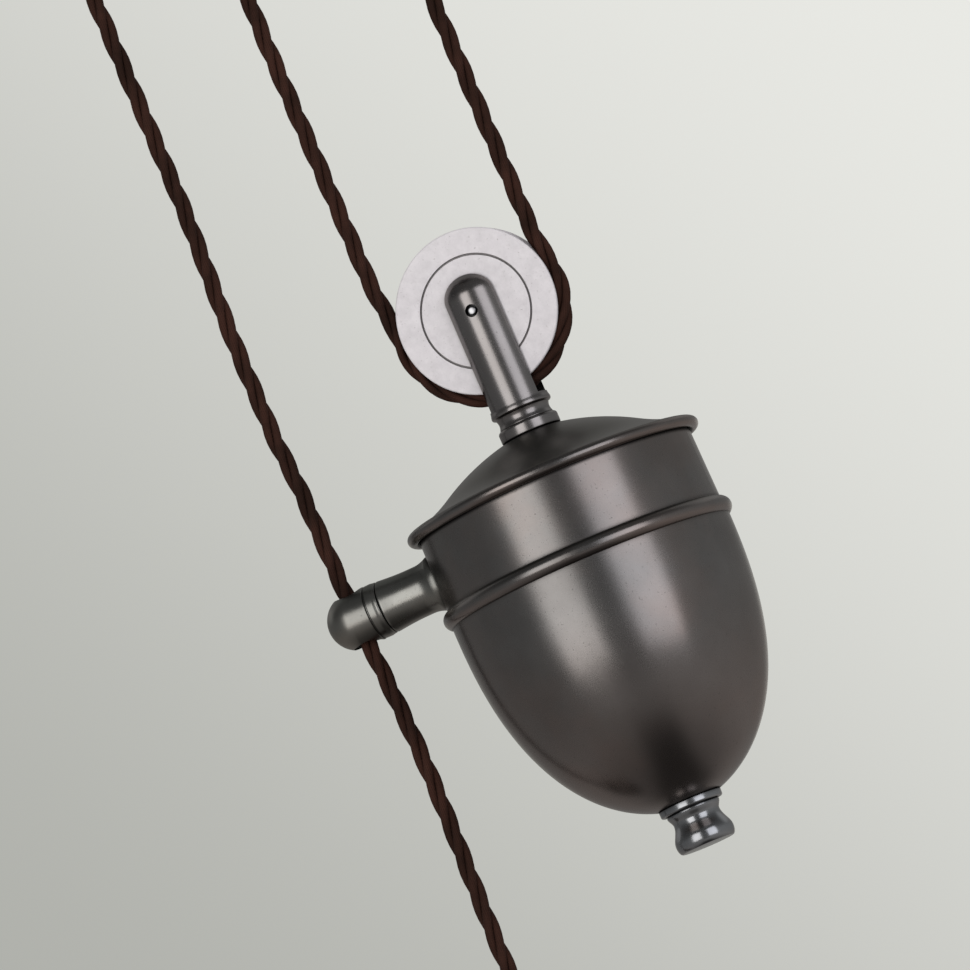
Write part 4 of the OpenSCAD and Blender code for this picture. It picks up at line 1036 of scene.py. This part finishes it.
# The room that the metal reflects: brightness at (height + 1) / 2, from straight down to straight up
ROOM = ((0.0, 0.17), (0.07, 0.22), (0.15, 0.30), (0.25, 0.35), (0.37, 0.31), (0.585, 0.27), (0.71, 0.16),
        (0.82, 0.10), (1.0, 0.12))
BACKDROP_LOW, BACKDROP_HIGH = (0.430, 0.436, 0.406), (0.820, 0.823, 0.785)
PLAIN_LIGHT = (0.56, 0.56, 0.56)


def make_world():
    """Pale backdrop behind the object, dim room in the metal's reflections, even light on the rest."""
    world = bpy.data.worlds.new("studio")
    bpy.context.scene.world = world
    world.use_nodes = True
    tree = world.node_tree
    tree.nodes.clear()
    n = Nodes(tree)
    direction = n.add("ShaderNodeTexCoord").outputs["Generated"]

    def along(axis):
        """How far the direction points along the axis, -1 to 1."""
        node = n.add("ShaderNodeVectorMath", operation="DOT_PRODUCT")
        n.link(direction, node.inputs[0])
        node.inputs[1].default_value = axis
        return node.outputs["Value"]

    def from_map(value, low, high):
        """0 at low and before, 1 at high and beyond."""
        node = n.add("ShaderNodeMapRange", interpolation_type="SMOOTHSTEP")
        node.inputs["From Min"].default_value = low
        node.inputs["From Max"].default_value = high
        n.link(value, node.inputs["Value"])
        return node.outputs["Result"]

    def dimmed(value, share):
        return n.times(value, n.maths("SUBTRACT", 1.0, share))

    height = along(Z)
    behind = along(Vector((forward.x, forward.y, 0)).normalized())
    to_right = along(level_right)
    slope = from_map(along((photo_right + 1.15 * photo_up).normalized()), -0.075, 0.075)
    pale = n.mix(slope, BACKDROP_LOW, BACKDROP_HIGH)

    # Lighter to the right, darker round the camera, lighter above the backdrop, dark straight below
    room = n.ramp(n.maths("ADD", n.times(height, 0.5), 0.5), *ROOM)
    room = n.times(room, n.maths("ADD", n.times(to_right, 0.22), 1.0))
    room = dimmed(room, n.times(from_map(behind, -0.78, -0.97), 0.5))
    overhead = n.times(from_map(behind, 0.1, 0.5), from_map(height, 0.2, 0.45))
    room = n.maths("ADD", room, n.times(overhead, 0.30))
    below = n.times(from_map(n.maths("ABSOLUTE", to_right), 0.40, 0.17), from_map(height, -0.52, -0.92))
    room = dimmed(room, n.times(below, 0.72))

    # The backdrop itself shows in the metal only near the horizon behind the object
    level_band = n.times(from_map(height, 0.15, 0.05), from_map(height, -0.15, -0.05))
    seen_in_metal = n.mix(n.times(from_map(behind, 0.9, 0.99), level_band), room, pale)

    path = n.add("ShaderNodeLightPath")
    light = n.mix(path.outputs["Is Glossy Ray"], PLAIN_LIGHT, seen_in_metal)
    shown = n.maths("MAXIMUM", path.outputs["Is Camera Ray"], path.outputs["Is Transmission Ray"])
    background = n.add("ShaderNodeBackground")
    n.link(n.mix(shown, light, pale), background.inputs["Color"])
    output = n.add("ShaderNodeOutputWorld")
    n.link(background.outputs[0], output.inputs["Surface"])


make_world()


FLOOR_R, FLOOR_DROP, FADE_START, FADE_END = 14.0, 0.9, 3.0, 11.0


def make_floor(sides=64):
    """A pale floor far below, fading out with distance, seen from above only and not in the metal."""
    angles = [2 * math.pi * i / sides for i in range(sides)]
    points = [(FLOOR_R * math.cos(a), FLOOR_R * math.sin(a), cad_low.z - FLOOR_DROP) for a in angles]
    floor = add_mesh("floor", points, [tuple(range(sides))], smooth=False)
    material, n, shader = new_material("floor", Roughness=0.9, Specular_IOR_Level=0.1)
    shader.inputs["Base Color"].default_value = (0.72, 0.72, 0.69, 1)
    radial = n.add("ShaderNodeVectorMath", operation="LENGTH")
    n.link(n.add("ShaderNodeTexCoord").outputs["Object"], radial.inputs[0])
    far = n.add("ShaderNodeMapRange", interpolation_type="SMOOTHSTEP")
    far.inputs["From Min"].default_value = FADE_START
    far.inputs["From Max"].default_value = FADE_END
    n.link(radial.outputs["Value"], far.inputs["Value"])
    hidden = n.maths("MAXIMUM", far.outputs["Result"], n.add("ShaderNodeNewGeometry").outputs["Backfacing"])
    clear = n.add("ShaderNodeBsdfTransparent")
    blend = n.add("ShaderNodeMixShader")
    n.link(hidden, blend.inputs["Fac"])
    n.link(shader.outputs[0], blend.inputs[1])
    n.link(clear.outputs[0], blend.inputs[2])
    n.link(blend.outputs[0], material.node_tree.nodes["Material Output"].inputs["Surface"])
    floor.data.materials.append(material)
    floor.visible_glossy = False


make_floor()

bpy.context.scene.view_settings.view_transform = "Standard"
